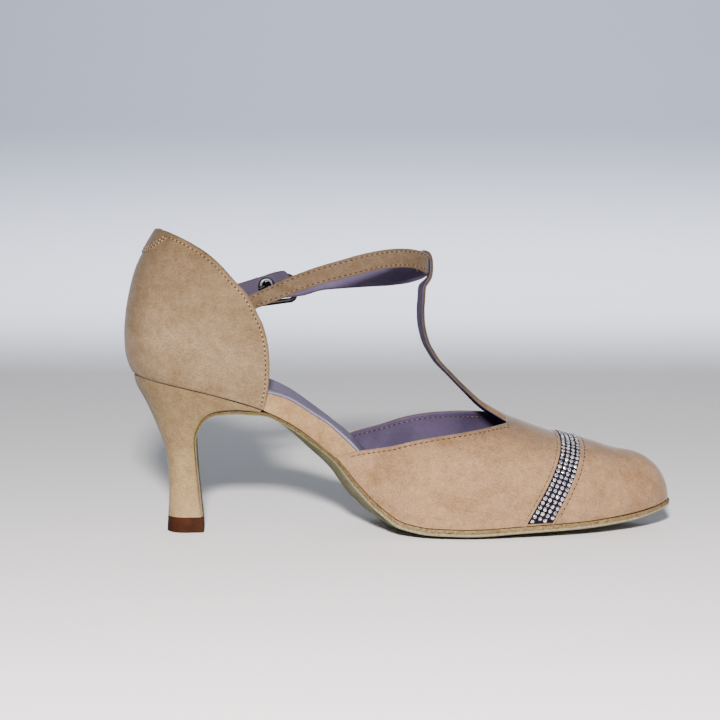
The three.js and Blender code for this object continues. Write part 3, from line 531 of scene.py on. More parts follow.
# Nickel-plated steel, rubbed: gunmetal or bright
def makeMetal(name, light, dark, roughness):
    material, tree, shader, place = newMaterial(name, roughness, metallic=1.0)
    rub = cloud(tree, place, 3.0, 4.0)
    tree.links.new(ramp(tree, rub.outputs["Fac"], [(0.35, dark), (0.65, light)]),
                   shader.inputs["Base Color"])
    wearAndShade = addNode(tree, "ShaderNodeMapRange", {"Value": rub.outputs["Fac"], "To Min": roughness - 0.06,
                                                "To Max": roughness + 0.12})
    tree.links.new(wearAndShade.outputs["Result"], shader.inputs["Roughness"])
    return material


# name; light, middle and dark nap; sheen; where it greys, the tint and its heights in metres
upperSuede = makeSuede("kidSuede", "73634f", "6d5d49", "63533e", 0.07, "d0ccc4", 0.084, 0.125)
vampSuede = makeSuede("vampSuede", "8a7054", "826951", "755c43", 0.2, "7b8381", 0.032, 0.062)
randSuede = makeSuede("randSuede", "8a7254", "836a4e", "785f42", 0.12)
# the heel's greying towards its top is painted shade
heelSuede = makeSuede("heelSuede", "8c795a", "867254", "7d694c", 0.07, "c8c8c8")
strapSuede = makeSuede("strapSuede", "55483a", "4f4234", "473a2a", 0.1)
lavenderLining = makeLining("lavenderLining", "3c344c", "312a40", 0.7)
strapLining = makeLining("strapLining", "2a2337", "211b2d", 0.7)
sockLeather = makeLining("sockLeather", "625b72", "565068", 0.6)
soleEdge = makeSoleEdge()
soleSplit = makeSoleSplit()
tread = makeTread()
rubber = makeTopPieceRubber()
goldThread = makeThread("goldThread", "8a7353", "675235")
brownThread = makeThread("brownThread", "463828", "382c1e")
violetThread = makeThread("violetThread", "3e374c", "2f2839")
hole = makeHoleShade()
crystal = makeCrystal()
bandCloth = makeBandCloth()
gunmetal = makeMetal("gunmetal", "1d1c1b", "0e0d0d", 0.42)
nickel = makeMetal("nickel", "4a4d4f", "26292a", 0.34)
print("materials done")

# Vamp: closed toe, its topline and the way it arches over the foot
vamp = {
    "wall": 1.6,
    "skin": 0.85,           # suede's own thickness with its backing
    "height": 42.0,
    "bulge": 2.2,
    "ridgeShift": 3.0,
    "outerRise": 3.6,       # topline of the outer side lies this much higher
    "edgeRadius": 0.8,
    "columns": 150,
    "rows": 130,
    "strapHalf": 13.4,     # half width of the T-strap where it leaves the vamp
    "ridge": {
        "at": (.36, .46, .55, .62, .685, .72, .79, .85, .91, .96, 1),
        "high": (2.7, 2.4, 1.85, 1.38, 1.085, .995, .84, .745, .612, .552, .49),
        "shift": (1, 1, 1, 1, 1, 1, .8, .5, .2, 0, 0),
    },
    "topline": ((.35, .44), (.385, .52), (.401, .54), (.427, .568), (.455, .591), (.48, .613),
                (.511, .647), (.535, .668), (.56, .685), (.586, .699), (.62, .714), (.649, .725),
                (.668, .731), (.682, .734), (.692, .736)),
    # soft troughs and swells of the near side: x, z, reach and height
    "soft": ((168, 44, 5, 2.0, -40, -.4), (122, 22, 16, 9, 30, .35), (150, 26, 10, 8, 70, -.25),
             (204, 22, 9, 6, -20, .2)),
}


# Place on the vamp: turn runs from the inner side's sole edge over the ridge to the outer side's
def vampArch(x, turn, inset):
    x, turn, inset = np.broadcast_arrays(np.asarray(x, float), turn, inset)
    length = last["length"]
    tip = clamp((x - length + last["toeTip"]) / last["toeTip"])
    cap = clamp((x - length + last["toeCap"]) / last["toeCap"])
    across = np.cos(turn)
    rounding = endRounding(x, length)
    half = (fullWidth(x, -across) - inset) * rounding
    high = (vamp["height"] * column(vamp["ridge"], "high", x / length) - inset) * np.sqrt(1 - tip ** 2.5)
    upTurn = np.maximum(np.sin(turn), 0)
    shift = vamp["ridgeShift"] * column(vamp["ridge"], "shift", x / length) * upTurn
    bulge = vamp["bulge"] * np.sin(2 * turn) * rounding * clamp(3 * (x / length - 0.3))
    return point(x - inset * cap * cap,
                 -(np.sign(across) * np.abs(across) ** 0.92 * half + bulge) - shift,
                 edgeHeight(x) + last["gap"] * upright(x) + high * upTurn ** 0.95)


# Height of listed soft forms, each a leaning oval hump in the side view
def softForms(forms, x, z):
    total = np.zeros(np.shape(x))
    for x0, z0, longWay, shortWay, lean, high in forms:
        a = math.radians(lean)
        u = ((x - x0) * math.cos(a) + (z - z0) * math.sin(a)) / longWay
        v = (-(x - x0) * math.sin(a) + (z - z0) * math.cos(a)) / shortWay
        total += high * np.exp(-u * u - v * v)
    return total


def vampNormal(x, turn):
    step = 0.02
    along = vampArch(x + step, turn, 0) - vampArch(x - step, turn, 0)
    around = vampArch(x, turn + step, 0) - vampArch(x, turn - step, 0)
    return unit(np.cross(along, around))


def vampLifted(x, turn, lift):
    return vampArch(x, turn, 0) + vampNormal(x, turn) * np.asarray(lift)[..., None]


throat = vamp["topline"][-1][0] * last["length"]
toplineCurve = curveThrough([(a * last["length"], b * last["heelRise"]) for a, b in vamp["topline"]],
                            400)[1]
toplineCurve = np.vstack([toplineCurve, (throat + 2, 2 * last["heelRise"])])


# How far a point of the vamp lies under the topline, in mm
def underTopline(place):
    x, y, z = place[..., 0], place[..., 1], place[..., 2]
    lean = vamp["outerRise"] * (y / last["ball"] + 0.5)
    slope = (np.interp(x + 1, *toplineCurve.T) - np.interp(x - 1, *toplineCurve.T)) / 2
    return (np.interp(x, *toplineCurve.T) + lean - z) / np.hypot(1, np.clip(slope, -1, 3))


# Place on each line of the vamp that lies so far under the topline
def vampStart(turns, under=0.0):
    low = np.full(len(turns), vamp["topline"][0][0] * last["length"])
    high = np.full(len(turns), throat + 12.0)
    return halved(low, high, lambda x: underTopline(vampArch(x, turns, 0)) > under, 40)


def makeVamp():
    turns = np.concatenate([[-0.045, -0.02], math.pi * crowded(vamp["columns"], True, True, 1.25),
                            [math.pi + 0.02, math.pi + 0.045]])
    starts = vampStart(np.clip(turns, 0, math.pi))
    startY = vampArch(starts, np.clip(turns, 0, math.pi), 0)[:, 1]
    near = np.array([0, .06, .15, .3, .5, .8, 1.2, 1.8, 2.6])
    far = crowded(vamp["rows"], False, True, 1.5)[1:]
    tip = last["length"]

    def skin(outside, ends):
        rows = [starts + step for step in near + ends]
        rows += [lerp(starts + near[-1] + ends, tip, t) for t in far]
        x = np.array(rows)
        turn = np.broadcast_to(turns, x.shape)
        flat = np.clip(turn, 0, math.pi)
        bare = vampArch(x, flat, 0)
        under = np.maximum(underTopline(bare), 0)
        # the strap grows out of the vamp, so its columns have no edge
        under = np.maximum(under, 2 - 2 * ease((np.abs(startY) - vamp["strapHalf"]) / 3))
        soft = softForms(vamp["soft"], bare[..., 0], bare[..., 2]) * ease((under - 2) / 4)
        place = vampArch(x, flat, outside(under) - soft)
        # the suede turns in under the foot along the sole
        tuck = np.abs(turn - flat)
        place[..., 1] -= np.sign(place[..., 1]) * tuck * 30
        place[..., 2] -= tuck * 5
        return place

    radius = vamp["edgeRadius"]
    outer = skin(lambda under: rolled(under, radius), 0.0)
    middle = skin(lambda under: np.full(under.shape, vamp["skin"]), 0.0)
    makePiece("vamp_suede", [closedSheet(outer, middle)], vampSuede, "suede", "vamp")
    wall = vamp["wall"]
    inner = skin(lambda under: wall - rolled(under, 0.7), 0.12)
    behind = skin(lambda under: np.full(under.shape, vamp["skin"] + 0.03), 0.12)
    cut = -6    # the lining stops short of the toe's tip
    makePiece("vamp_lining", [closedSheet(inner[:cut], behind[:cut])], lavenderLining, "lining", "vamp")


makeVamp()
print("vamp done")

# Counter with its high peak
counter = {
    "height": 61.3,
    "depth": 61.5,
    "wall": 1.8,
    "skin": 0.95,
    "edgeRadius": 0.85,
    "rows": 90,
    "columns": 90,
    "corner": 0.30,     # height at which the edge turns from its top into its front
    "sections": {
        "at": (0, .06, .16, .28, .42, .57, .72, .86, 1, 1.12),
        "back": (.065, .032, .006, 0, .01, .036, .076, .140, .222, .3),
        "wide": (1, 1.05, 1.11, 1.16, 1.16, 1.12, 1.07, 1.01, .95, .9),
    },
    "edge": ((.224, 1), (.29, .985), (.375, .952), (.47, .905), (.582, .834), (.674, .752), (.761, .656),
             (.85, .56), (.915, .439), (.965, .33), (.995, .2), (1.003, .06), (.992, -.11),
             (.966, -.24), (.95, -.32)),
    "farCut": 2.9,      # the outer side's edge lies this much further back
    "soft": ((18, 104, 9, 6, 70, -.3), (38, 84, 14, 8, 20, .35), (12, 78, 8, 6, 90, .3),
             (48, 74, 8, 5, 60, -.25), (30, 112, 8, 5, -30, .2)),
    "tabEdge": ((-.05, .826), (.119, .83), (.198, .85), (.239, .876), (.281, .903), (.317, .93),
                (.338, .957), (.35, 1)),
    "tabLift": 0.5,
    "tabWide": 0.40,    # share of the way round from the back
}
seat = last["edgeLift"] + last["heelRise"]
counterFront = counter["depth"] * 1.08


# Place on the counter: share runs forward from the back, below 0 on the inner side, up to the peak
def counterPoint(share, up, inset):
    share, up, inset = np.broadcast_arrays(np.asarray(share, float), up, inset)
    run = share ** 2
    seatX = lerp(last["seatInset"], counterFront, run)
    back = counter["height"] * column(counter["sections"], "back", up) + inset
    wide = column(counter["sections"], "wide", up)
    rounding = 1 - clamp((seatX - last["seatInset"]) / last["seatLength"])
    reach = (fullWidth(seatX, share) * wide - inset) * np.sqrt(1 - rounding ** 2.2)
    x = lerp(back, counterFront, run)
    return point(x, np.sign(share) * reach, edgeHeight(seatX) + last["gap"] + counter["height"] * up)


# Share around the counter and height for a place in the side view
def counterSpot(x, z):
    up = np.full(np.shape(x), 0.5)
    for _ in range(30):
        back = counter["height"] * column(counter["sections"], "back", up)
        run = clamp((x - back) / (counterFront - back))
        up = (z - edgeHeight(lerp(last["seatInset"], counterFront, run)) - last["gap"]) / counter["height"]
    return np.sqrt(run), up


def sideLine(rows, count):
    return curveThrough([(a * counter["depth"], seat + b * counter["height"]) for a, b in rows], count)[1]


counterLine = sideLine(counter["edge"], 400)
edgeShare = np.linspace(0, 1, len(counterLine))[:, None]


# Distance from points to a line in the side view
def distanceTo(line, x, z):
    a, b = line[:-1], line[1:]
    p = np.stack([x, z], -1)[..., None, :]
    d = b - a
    t = clamp(((p - a) * d).sum(-1) / np.maximum((d * d).sum(-1), 1e-9))
    return np.linalg.norm(p - (a + d * t[..., None]), axis=-1).min(-1)


# Line moved sideways to the left of its own direction
def beside(line, distance):
    along = unit(np.gradient(line, axis=0))
    return line + distance * np.stack([-along[:, 1], along[:, 0]], -1)


farLine = beside(counterLine, -counter["farCut"] * ease(edgeShare / 0.09))
tabLine = sideLine(counter["tabEdge"], 200)
upperPart = 150     # rows of the edge lines that reach over the peak and the tab


def counterGrid(line):
    share, up = counterSpot(line[:, 0], line[:, 1])
    top = up > counter["corner"]
    cornerAt = np.nonzero(top)[0][-1]
    topSide = np.vstack([[0, 1.0], np.stack([share, up], -1)[:cornerAt + 1]])
    front = np.stack([share, up], -1)[cornerAt:]
    front = front[front[:, 1] > 0]
    front = np.vstack([front, (front[-1, 0], 0)])[::-1]
    u = crowded(counter["columns"], False, True, 1.5)
    v = crowded(counter["rows"], False, True, 1.5)

    def along(line, shares):
        lengths = lineLength(line)
        return atLength(line, lengths, shares * lengths[-1])

    low, high = np.stack([u * front[0, 0], 0 * u], -1), along(topSide, u)
    left, right = np.stack([0 * v, v], -1), along(front, v)
    uu, vv = u[None, :, None], v[:, None, None]
    return ((1 - vv) * low[None] + vv * high[None] + (1 - uu) * left[:, None] + uu * right[:, None]
            - (1 - uu) * (1 - vv) * low[0] - uu * (1 - vv) * low[-1]
            - (1 - uu) * vv * high[0] - uu * vv * high[-1])


def makeCounter():
    near, far = counterGrid(counterLine), counterGrid(farLine)
    grid = np.concatenate([near[:, :0:-1] * (-1, 1), far], axis=1)
    share, up = grid[..., 0], grid[..., 1]
    flat = counterPoint(share, up, 0)
    half = near.shape[1] - 1
    edge = np.concatenate([distanceTo(counterLine[::4], flat[:, :half, 0], flat[:, :half, 2]),
                           distanceTo(farLine[::4], flat[:, half:, 0], flat[:, half:, 2])], axis=1)
    base = up * counter["height"]
    radius = counter["edgeRadius"]
    soft = softForms(counter["soft"], flat[..., 0], flat[..., 2])
    roll = rolled(edge, radius) + rolled(base, 0.5) - soft * ease((edge - 2) / 5) * ease(base / 8)
    outer = counterPoint(share, up, roll)
    middle = counterPoint(share, up, counter["skin"])
    makePiece("counter_suede", [closedSheet(outer, middle)], upperSuede, "suede", "counter")
    inner = counterPoint(share, up, counter["wall"] - rolled(edge, 0.75))
    behind = counterPoint(share, up, counter["skin"] + 0.03)
    makePiece("counter_lining", [closedSheet(inner, behind)], lavenderLining, "lining", "counter")


makeCounter()


# Small tab over the peak
def makeBackTab():
    share = counter["tabWide"] * np.linspace(-1, 1, 91)

    # height at which the counter crosses a line of the side view
    def height(line, extra):
        def isOver(up):
            place = counterPoint(share, up, 0)
            return place[:, 2] > np.interp(place[:, 0], line[:, 0], line[:, 1]) + extra

        return halved(np.full(len(share), 0.6), np.full(len(share), 1.1), isOver, 36)

    bottom = height(tabLine, 0)
    top = np.where(share < 0, height(counterLine[:upperPart], -0.05), height(farLine[:upperPart], -0.05))
    keep = top - bottom > 0.004
    share, bottom, top = share[keep], bottom[keep], top[keep]
    t = crowded(40, True, True, 1.6)[:, None]
    up = bottom + (top - bottom) * t
    shares = np.broadcast_to(share, up.shape)
    base = counterPoint(shares, up, 0)
    away = [distanceTo(line[:upperPart:4], base[..., 0], base[..., 2]) for line in (counterLine, farLine)]
    edge = np.minimum(distanceTo(tabLine[::4], base[..., 0], base[..., 2]), np.where(share < 0, *away))
    lift = counter["tabLift"] - rolled(edge, 0.6)
    face, back = counterPoint(shares, up, -lift), counterPoint(shares, up, 0.1)
    makePiece("back_tab_suede", [closedSheet(face, back)], upperSuede, "suede", "back_tab")


makeBackTab()
print("counter done")

# Heel, its breast and its top piece
heel = {
    "topPiece": 6.6,
    "leather": 1.4,
    "thinned": 0.8,     # the breast leather is pared this much by its lower end
    "flare": 0.4,
    "coverHeight": 55.0,
    "rows": 90,
    "columns": 97,
    "rings": {
        "at": (0, .05, .1, .18, .27, .38, .52, .68, .84, 1),
        "back": (.065, .075, .098, .142, .183, .230, .276, .299, .304, .296),
        "front": (1, .99, .965, .89, .8, .715, .64, .6, .605, .625),
        "wide": (1, .955, .9, .8, .685, .555, .43, .365, .355, .385),
    },
    "breast": ((1, .988), (.95, 1.006), (.877, 1.018), (.793, 1.028), (.696, 1.023), (.626, 1.011),
               (.571, .983), (.528, .933), (.495, .857), (.478, .78), (.479, .68), (.490, .512),
               (.505, .343), (.518, .209), (.528, .132)),
}
breastTop = float(edgeHeight(counter["depth"]))
breastLine = curveThrough([(a * counter["depth"], b * breastTop) for a, b in heel["breast"]], 400)[1]
heelBottom = heel["topPiece"] + 0.05    # the cover is drawn down onto the top piece


# Place on the heel: share runs forward from the back, drop from the seat to the top piece
def hornPoint(share, drop, flare=0.0, level=None):
    share, drop, flare = np.broadcast_arrays(np.asarray(share, float), drop, flare)
    run = share ** 2
    seatX = lerp(last["seatInset"], counter["depth"], run)
    rounding = 1 - clamp((seatX - last["seatInset"]) / last["seatLength"])
    rings = heel["rings"]
    reach = (fullWidth(seatX, share) * column(rings, "wide", drop) + flare) * np.sqrt(1 - rounding ** 2.2)
    depth = counter["depth"]
    x = lerp(column(rings, "back", drop) * depth - flare, column(rings, "front", drop) * depth, run)
    z = lerp(edgeHeight(seatX), heelBottom, drop) if level is None else level
    return point(x, np.sign(share) * reach, z)


# True in front of the heel's breast, in the side view
def inFrontOfBreast(x, z):
    line = breastLine[::4]
    outline = np.vstack([line, (line[-1, 0], -5), (90, -5), (90, line[0, 1])])
    nextPoint = np.roll(outline, -1, 0)
    inside = np.zeros(np.shape(x), bool)
    for (x0, z0), (x1, z1) in zip(outline, nextPoint):
        if z0 == z1:
            continue
        crosses = (z0 > z) != (z1 > z)
        inside ^= crosses & (x < (x1 - x0) * (z - z0) / (z1 - z0) + x0)
    return inside


# Share at which the breast cuts the heel off
def breastShare(drop):
    def isAhead(share):
        place = hornPoint(share, drop)
        return inFrontOfBreast(place[:, 0], place[:, 2])

    return halved(np.zeros(len(drop)), np.full(len(drop), 0.97), isAhead)


def makeHeel():
    drops = np.concatenate([[0, .004, .008, .014], 0.02 + 0.98 * crowded(heel["rows"], True, False, 1.3)])
    limits = breastShare(drops)
    spots = np.linspace(-1, 1, heel["columns"])
    shares = limits[:, None] * spots[None]
    flat = hornPoint(shares, drops[:, None])
    seatDrop = drops[:, None] * heel["coverHeight"]
    inset = rolled(np.broadcast_to(seatDrop, shares.shape), 0.5)
    rear = heel["columns"] // 2
    edge = (1 - np.abs(spots))[None] * np.abs(flat[:, :1, 0] - flat[:, rear:rear + 1, 0])
    inset = inset + rolled(edge, 0.5)
    rings = hornPoint(shares, drops[:, None], -inset)
    makePiece("heel_cover", [closedTube(rings)], heelSuede, "suede", "heel")


makeHeel()


def makeTopPiece():
    depth = counter["depth"]
    front = breastLine[-1, 0] + last["gap"] + heel["leather"] - heel["thinned"]
    levels = np.array([0, .1, .35, .8, 1.6, 3.0, 4.4, 5.5, 6.1, 6.4, 6.55, 6.6])
    rings = []
    for level in levels:
        flare = heel["flare"] * (1 - level / heel["topPiece"])
        dull = rolled(min(level, heel["topPiece"] - level), 0.45)
        faceX = front + flare - dull
        back, ahead = heel["rings"]["back"][-1] * depth - flare, heel["rings"]["front"][-1] * depth
        limit = math.sqrt(min(1, (faceX - back) / (ahead - back)))
        side = hornPoint(np.linspace(-limit, limit, 72), 1.0, flare - dull, level)
        face = point(np.full(11, faceX), np.linspace(side[-1, 1], side[0, 1], 13)[1:-1], level)
        ring = np.vstack([side, face])
        centre = ring.mean(0)
        away = ring - centre
        corner = np.exp(-((np.abs(away[:, 1]) - np.abs(side[-1, 1])) / 0.6) ** 2) * (away[:, 0] > 3)
        ring[:, :2] -= unit(away[:, :2]) * (0.35 * corner)[:, None]
        rings.append(ring)
    makePiece("top_piece_rubber", [closedTube(np.array(rings))], rubber, "top_piece", "heel_top_piece")


makeTopPiece()
print("heel done")

# Outsole: from the toe through the waist and down the heel's breast in one piece
outsole = {
    "stations": 170,
    "crosses": 33,
    "split": 0.62,       # share of the thickness above the pale flesh layer
    "tread": 0.12,       # share of the thickness taken by the tread
    "blend": 9.0,        # length over which the sole turns into the breast leather
    "breastFrom": 62.0,  # the sole turns into it here
    "breastRows": 110,
    "swell": 0.12,       # each layer's cut edge is this much rounded
}
soleTip = last["length"] + last["margin"]


# Cross section of the sole, its upper face or its tread
def soleStation(x, across, low):
    x, across = np.broadcast_arrays(np.asarray(x, float), across)
    inShoe = np.minimum(x, last["length"])
    reach = fullWidth(inShoe, across) * endRounding(x, soleTip) + last["margin"]
    y = np.where(x >= soleTip, 0, across * (reach - low * 0.5))
    upper = soleMiddle(inShoe, y)
    under = upper - last["sole"] * lastAt(inShoe, "sole") * upright(inShoe)
    return point(x, y, np.maximum(0, under) if low else upper)


def soleGrids():
    crosses = np.sin(np.linspace(-1, 1, outsole["crosses"]) * math.pi / 2)
    soleStart, rows = outsole["breastFrom"], outsole["breastRows"]
    toeX = lerp(soleTip, last["length"] - last["toeCap"], crowded(50, True, False, 2.2))
    waistX = np.linspace(last["length"] - last["toeCap"], soleStart, outsole["stations"])[1:]
    x = np.concatenate([toeX, waistX])[:, None]
    upper, under = soleStation(x, crosses[None], 0), soleStation(x, crosses[None], 1)
    # breast leather, from the waist back and down
    start = np.argmin(np.abs(breastLine[:, 0] - soleStart))
    inner = beside(breastLine, last["gap"])[start:]
    pared = heel["thinned"] * np.linspace(0, 1, len(breastLine))[:, None] ** 2
    outer = beside(breastLine, last["gap"] + heel["leather"] - pared)[start:]
    inner, outer = evenly(inner, rows), evenly(outer, rows)
    nearBreast = evenly(breastLine[start:], rows)

    def isLower(drop):
        rung = hornPoint(breastShare(drop), drop)
        above = rung[:, 2] > nearBreast[:, 1] + 1e-6
        ahead = rung[:, 0] > nearBreast[:, 0]
        return ~np.where(nearBreast[:, 1] > breastTop * 0.9, ahead, above)

    drop = halved(np.zeros(rows + 1), np.ones(rows + 1), isLower)
    limit = breastShare(drop)
    halfIn = np.abs(hornPoint(-limit, drop)[:, 1])
    halfOut = np.abs(hornPoint(limit, drop)[:, 1])
    y = np.where(crosses[None] < 0, crosses[None] * halfIn[:, None], crosses[None] * halfOut[:, None])
    flapUpper = point(inner[:, 0][:, None], y, inner[:, 1][:, None])
    flapUnder = point(outer[:, 0][:, None], y, outer[:, 1][:, None])
    for grid in (flapUpper, flapUnder):
        grid[..., 2] = np.maximum(grid[..., 2], heelBottom - 0.1)
    # the two definitions meet over a short length
    distance = lineLength(nearBreast)
    fade = 1 - ease(distance / outsole["blend"])[:, None, None]
    flapUpper += (upper[-1:] - flapUpper[:1]) * fade
    flapUnder += (under[-1:] - flapUnder[:1]) * fade
    return np.concatenate([upper, flapUpper[1:]]), np.concatenate([under, flapUnder[1:]])


def makeOutsole():
    upper, under = soleGrids()
    depth = under - upper
    layers = (("sole_leather", soleEdge, 0.0, outsole["split"]),
              ("sole_split", soleSplit, outsole["split"] + 0.004, 1 - outsole["tread"]),
              ("sole_tread", tread, 1.004 - outsole["tread"], 1.0))
    for name, material, top, bottom in layers:
        shares = np.linspace(top, bottom, 5)[1:-1]
        swell = outsole["swell"] * np.sin(math.pi * shares)

        def edge(at, sign):
            rows = upper[:, at][:, None] + depth[:, at][:, None] * shares[None, :, None]
            rows[..., 1] += sign * swell
            return rows

        rings = np.concatenate([upper + depth * top, edge(-1, 1), (upper + depth * bottom)[:, ::-1],
                                edge(0, -1)[:, ::-1]], 1)
        makePiece(name, [closedTube(rings)], material, "sole_leather", "outsole", sharp=50)


makeOutsole()
print("outsole done")

# Insole board with its suede rand, and the sock on it
insole = {
    "columns": 41,
    "sideRows": 12,
    "rand": 0.35,       # how far the covered side swells
    "rollSock": 0.95,
    "cup": 2.2,         # the bed's far side rises this much beside the counter
    "brim": 1.3,        # and its near side this much at the waist
    "fineFrom": 60.0,   # even columns between these two, crowded ones towards the ends
    "fineTo": 188.0,
}


# How far the insole stays inside the sole's edge where the upper wraps it
def insoleInset(x):
    inside = np.maximum(clamp((counter["depth"] - 1 - x) / 2.5), clamp((x - last["length"] * 0.345) / 5))
    return inside * (max(vamp["wall"], counter["wall"]) + last["gap"])


# Stations of the insole or the sock, with the lift of their sides at the counter and the waist
def bedGrid(start, tip, narrower, height):
    near, far = insole["fineFrom"], insole["fineTo"]
    heelPart = start + crowded(40, True, False, 2) * (near - start)
    toePart = far + crowded(40, False, True, 2)[1:] * (tip - far)
    x = np.concatenate([heelPart, np.linspace(near, far, 120)[1:], toePart])[:, None]
    across = np.sin(np.linspace(-1, 1, insole["columns"]) * math.pi / 2)[None]
    heelEnd = np.sqrt(1 - (1 - clamp((x - start) / last["seatLength"])) ** 2.2)
    toeEnd = np.sqrt(1 - clamp((x - tip + last["toeCap"]) / last["toeCap"]) ** 2.3)
    half = (fullWidth(x, across) - narrower(x)) * heelEnd * toeEnd
    y = across * half
    outward = y / np.maximum(half, 1) * (half > 3)
    cup = insole["cup"] * ease((100 - x) / 40) * ease(outward)
    brim = insole["brim"] * ease((x - 54) / 18) * ease((101 - x) / 16) * ease(-outward)
    return x, y, half, height(x, y), cup + brim


def makeInsole():
    start = last["seatInset"] + counter["wall"] + last["gap"]
    tip = last["length"] - vamp["wall"] - 2 * last["gap"]
    x, y, half, low, cup = bedGrid(start, tip, insoleInset,
                                   lambda x, y: soleMiddle(x, y) + last["gap"] * upright(x))
    high = bedHeight(x) - (last["sock"] + last["gap"]) * upright(x) + cup
    bottom, top = point(x, y, low), point(x, y, high)

    def side(column, sign):
        s = np.linspace(0, 1, insole["sideRows"] + 2)[1:-1]
        rows = bottom[:, column][:, None] + (top - bottom)[:, column][:, None] * s[None, :, None]
        rows[..., 1] += sign * insole["rand"] * np.sin(math.pi * s) ** 0.5 * (half[:, column] > 3)[:, None]
        return rows

    rings = np.concatenate([bottom, side(-1, 1), top[:, ::-1], side(0, -1)[:, ::-1]], 1)
    makePiece("insole_rand", [closedTube(rings)], randSuede, "suede", "insole_board")


def makeSock():
    start = last["seatInset"] + counter["wall"] + 1
    x, y, half, high, cup = bedGrid(start, last["length"] - vamp["wall"] - 3,
                                    lambda x: insoleInset(x) + 0.2, lambda x, y: bedHeight(x) + 0 * y)
    high = high + cup
    distance = half - np.abs(y)
    dip = rolled(distance, insole["rollSock"]) * upright(x)
    top = point(x, y, high - dip)
    low = point(x, y, high - last["sock"] * upright(x))
    makePiece("sock_lining", [closedSheet(top, low)], sockLeather, "lining", "sock")


makeInsole()
makeSock()
print("insole done")


# Straps: a ribbon along a route, suede outside and lining inside
straps = {
    "width": 8.0,
    "thickness": 2.0,
    "taper": 0.7,
    "tWidth": 10.0,
    "tThickness": 1.4,
    "tTwist": 9.0,
    "shortWidth": 9.0,
    "loopFromToe": 107.3,
    "loopSlack": 0.45,
    # along to the loop, across in ball widths, and up in counter heights
    "ankle": ((.023, -.305, .561), (.163, -.323, .627), (.324, -.325, .687), (.48, -.312, .732),
              (.653, -.275, .778), (.799, -.217, .798), (.905, -.155, .794), (.98, -.1, .775),
              (1.018, -.047, .751), (1.019, .015, .729), (1.001, .062, .709), (.965, .12, .688),
              (.906, .187, .666), (.807, .243, .648), (.671, .287, .637), (.505, .315, .624),
              (.339, .325, .606)),
    # how far along and up between the throat and the loop
    "tRise": ((.17, .048), (.3, .092), (.427, .151), (.556, .214), (.686, .285), (.81, .357),
              (.893, .426), (.951, .487), (1.006, .603), (1.016, .702), (1.006, .796), (.992, .868)),
    "fold": ((.22, -1.22), (.78, -.92), (1.08, -.5), (1.14, .1), (1.0, .68), (.55, 1.06), (-.1, 1.18),
             (-.75, 1.05), (-1.15, .62), (-1.28, 0), (-1.25, -.4)),
    "rim": 0.2,         # suede folded round the edge of the lining
    "columns": 19,
}
buckle = {
    "length": 20.5,
    "height": 13.0,
    "wire": 2.2,
    "tilt": 7.4,
    "fromCounter": 2.8,
    "fromStrap": 6.6,
    "prong": 1.3,
    "hook": 1.4,
    "grommetOuter": 7.3,
    "grommetHole": 3.7,
    "grommetRim": 0.8,
}
loopPlace = last["length"] - straps["loopFromToe"]
strapGap = last["gap"] + straps["thickness"] / 2


def besideCounter(x, z, side, gap):
    share, up = counterSpot(np.array([x]), np.array([z]))
    return float(counterPoint(side * share, up, counter["wall"] - gap if gap < 0 else -gap)[0, 1])


# Strap's middle along the counter, inside it where the gap is below 0, clear over its whole width
def alongCounter(x, z, side, wide, gap):
    reaches = [abs(besideCounter(x, z + share * wide, side, gap)) for share in (-0.5, 0, 0.5)]
    return (x, side * (min(reaches) if gap < 0 else max(reaches)), z)


def onCounter(along, up):
    return counter["depth"] * along, seat + up * counter["height"]


# Short strap's middle line, from inside the counter to its free tip
def shortRoute():
    inside = [alongCounter(*onCounter(a, b), 1, straps["shortWidth"], -strapGap)
              for a, b in ((.683, .507), (.813, .529))]
    out = inside[-1][1]
    free = [(counter["depth"] * a, out + straps["width"] * more, seat + b * counter["height"])
            for a, b, more in ((.911, .559, -.01), (.992, .583, .02), (1.073, .609, .06), (1.16, .622, .1))]
    return inside + free


shortPoints = shortRoute()
grommetPlace = np.array(shortPoints[3])
buckleMiddle = np.array([counter["depth"] + buckle["fromCounter"], grommetPlace[1] + buckle["fromStrap"],
                         seat + counter["height"] * 0.545])
tilt = math.radians(buckle["tilt"])
hingeBar = (buckle["wire"] - buckle["length"]) / 2


def buckleSpot(along, out, up):
    return (buckleMiddle[0] + along * math.cos(tilt) - up * math.sin(tilt), buckleMiddle[1] + out,
            buckleMiddle[2] + along * math.sin(tilt) + up * math.cos(tilt))


def anklePoint(row):
    return (lerp(counter["depth"], loopPlace, row[0]), row[1] * last["ball"],
            seat + row[2] * counter["height"])


loopMiddle = np.array(anklePoint(max(straps["ankle"])))


# Ankle strap's middle line, from inside the counter, through the loop and the buckle
def ankleRoute():
    start = [alongCounter(*onCounter(a, b), -1, straps["width"] * share, -strapGap)
             for a, b, share in ((.7, .427, 1), (.813, .47, 1), (.911, .511, .2))]
    under = -(buckle["wire"] / 2 + strapGap + 0.25)
    over = buckle["wire"] / 2 + buckle["prong"] + last["gap"] + strapGap
    weave = ((.62, 0, 0), (.46, 0, 0), (.31, .09, 0), (.11, .26, 0), (-.14, .58, 0), (-.34, .9, 0),
             (-.5, 1, .2))
    through = [buckleSpot(a * buckle["length"], lerp(under, over, s) + more, 0) for a, s, more in weave]
    low = through[-1][2]
    end = [alongCounter(counter["depth"] * a, low - (0.85 - a) * 9, 1, straps["width"], strapGap + more)
           for a, more in ((.8, 1.6), (.71, .2), (.61, 0))]
    return start + [anklePoint(row) for row in straps["ankle"]] + through + end


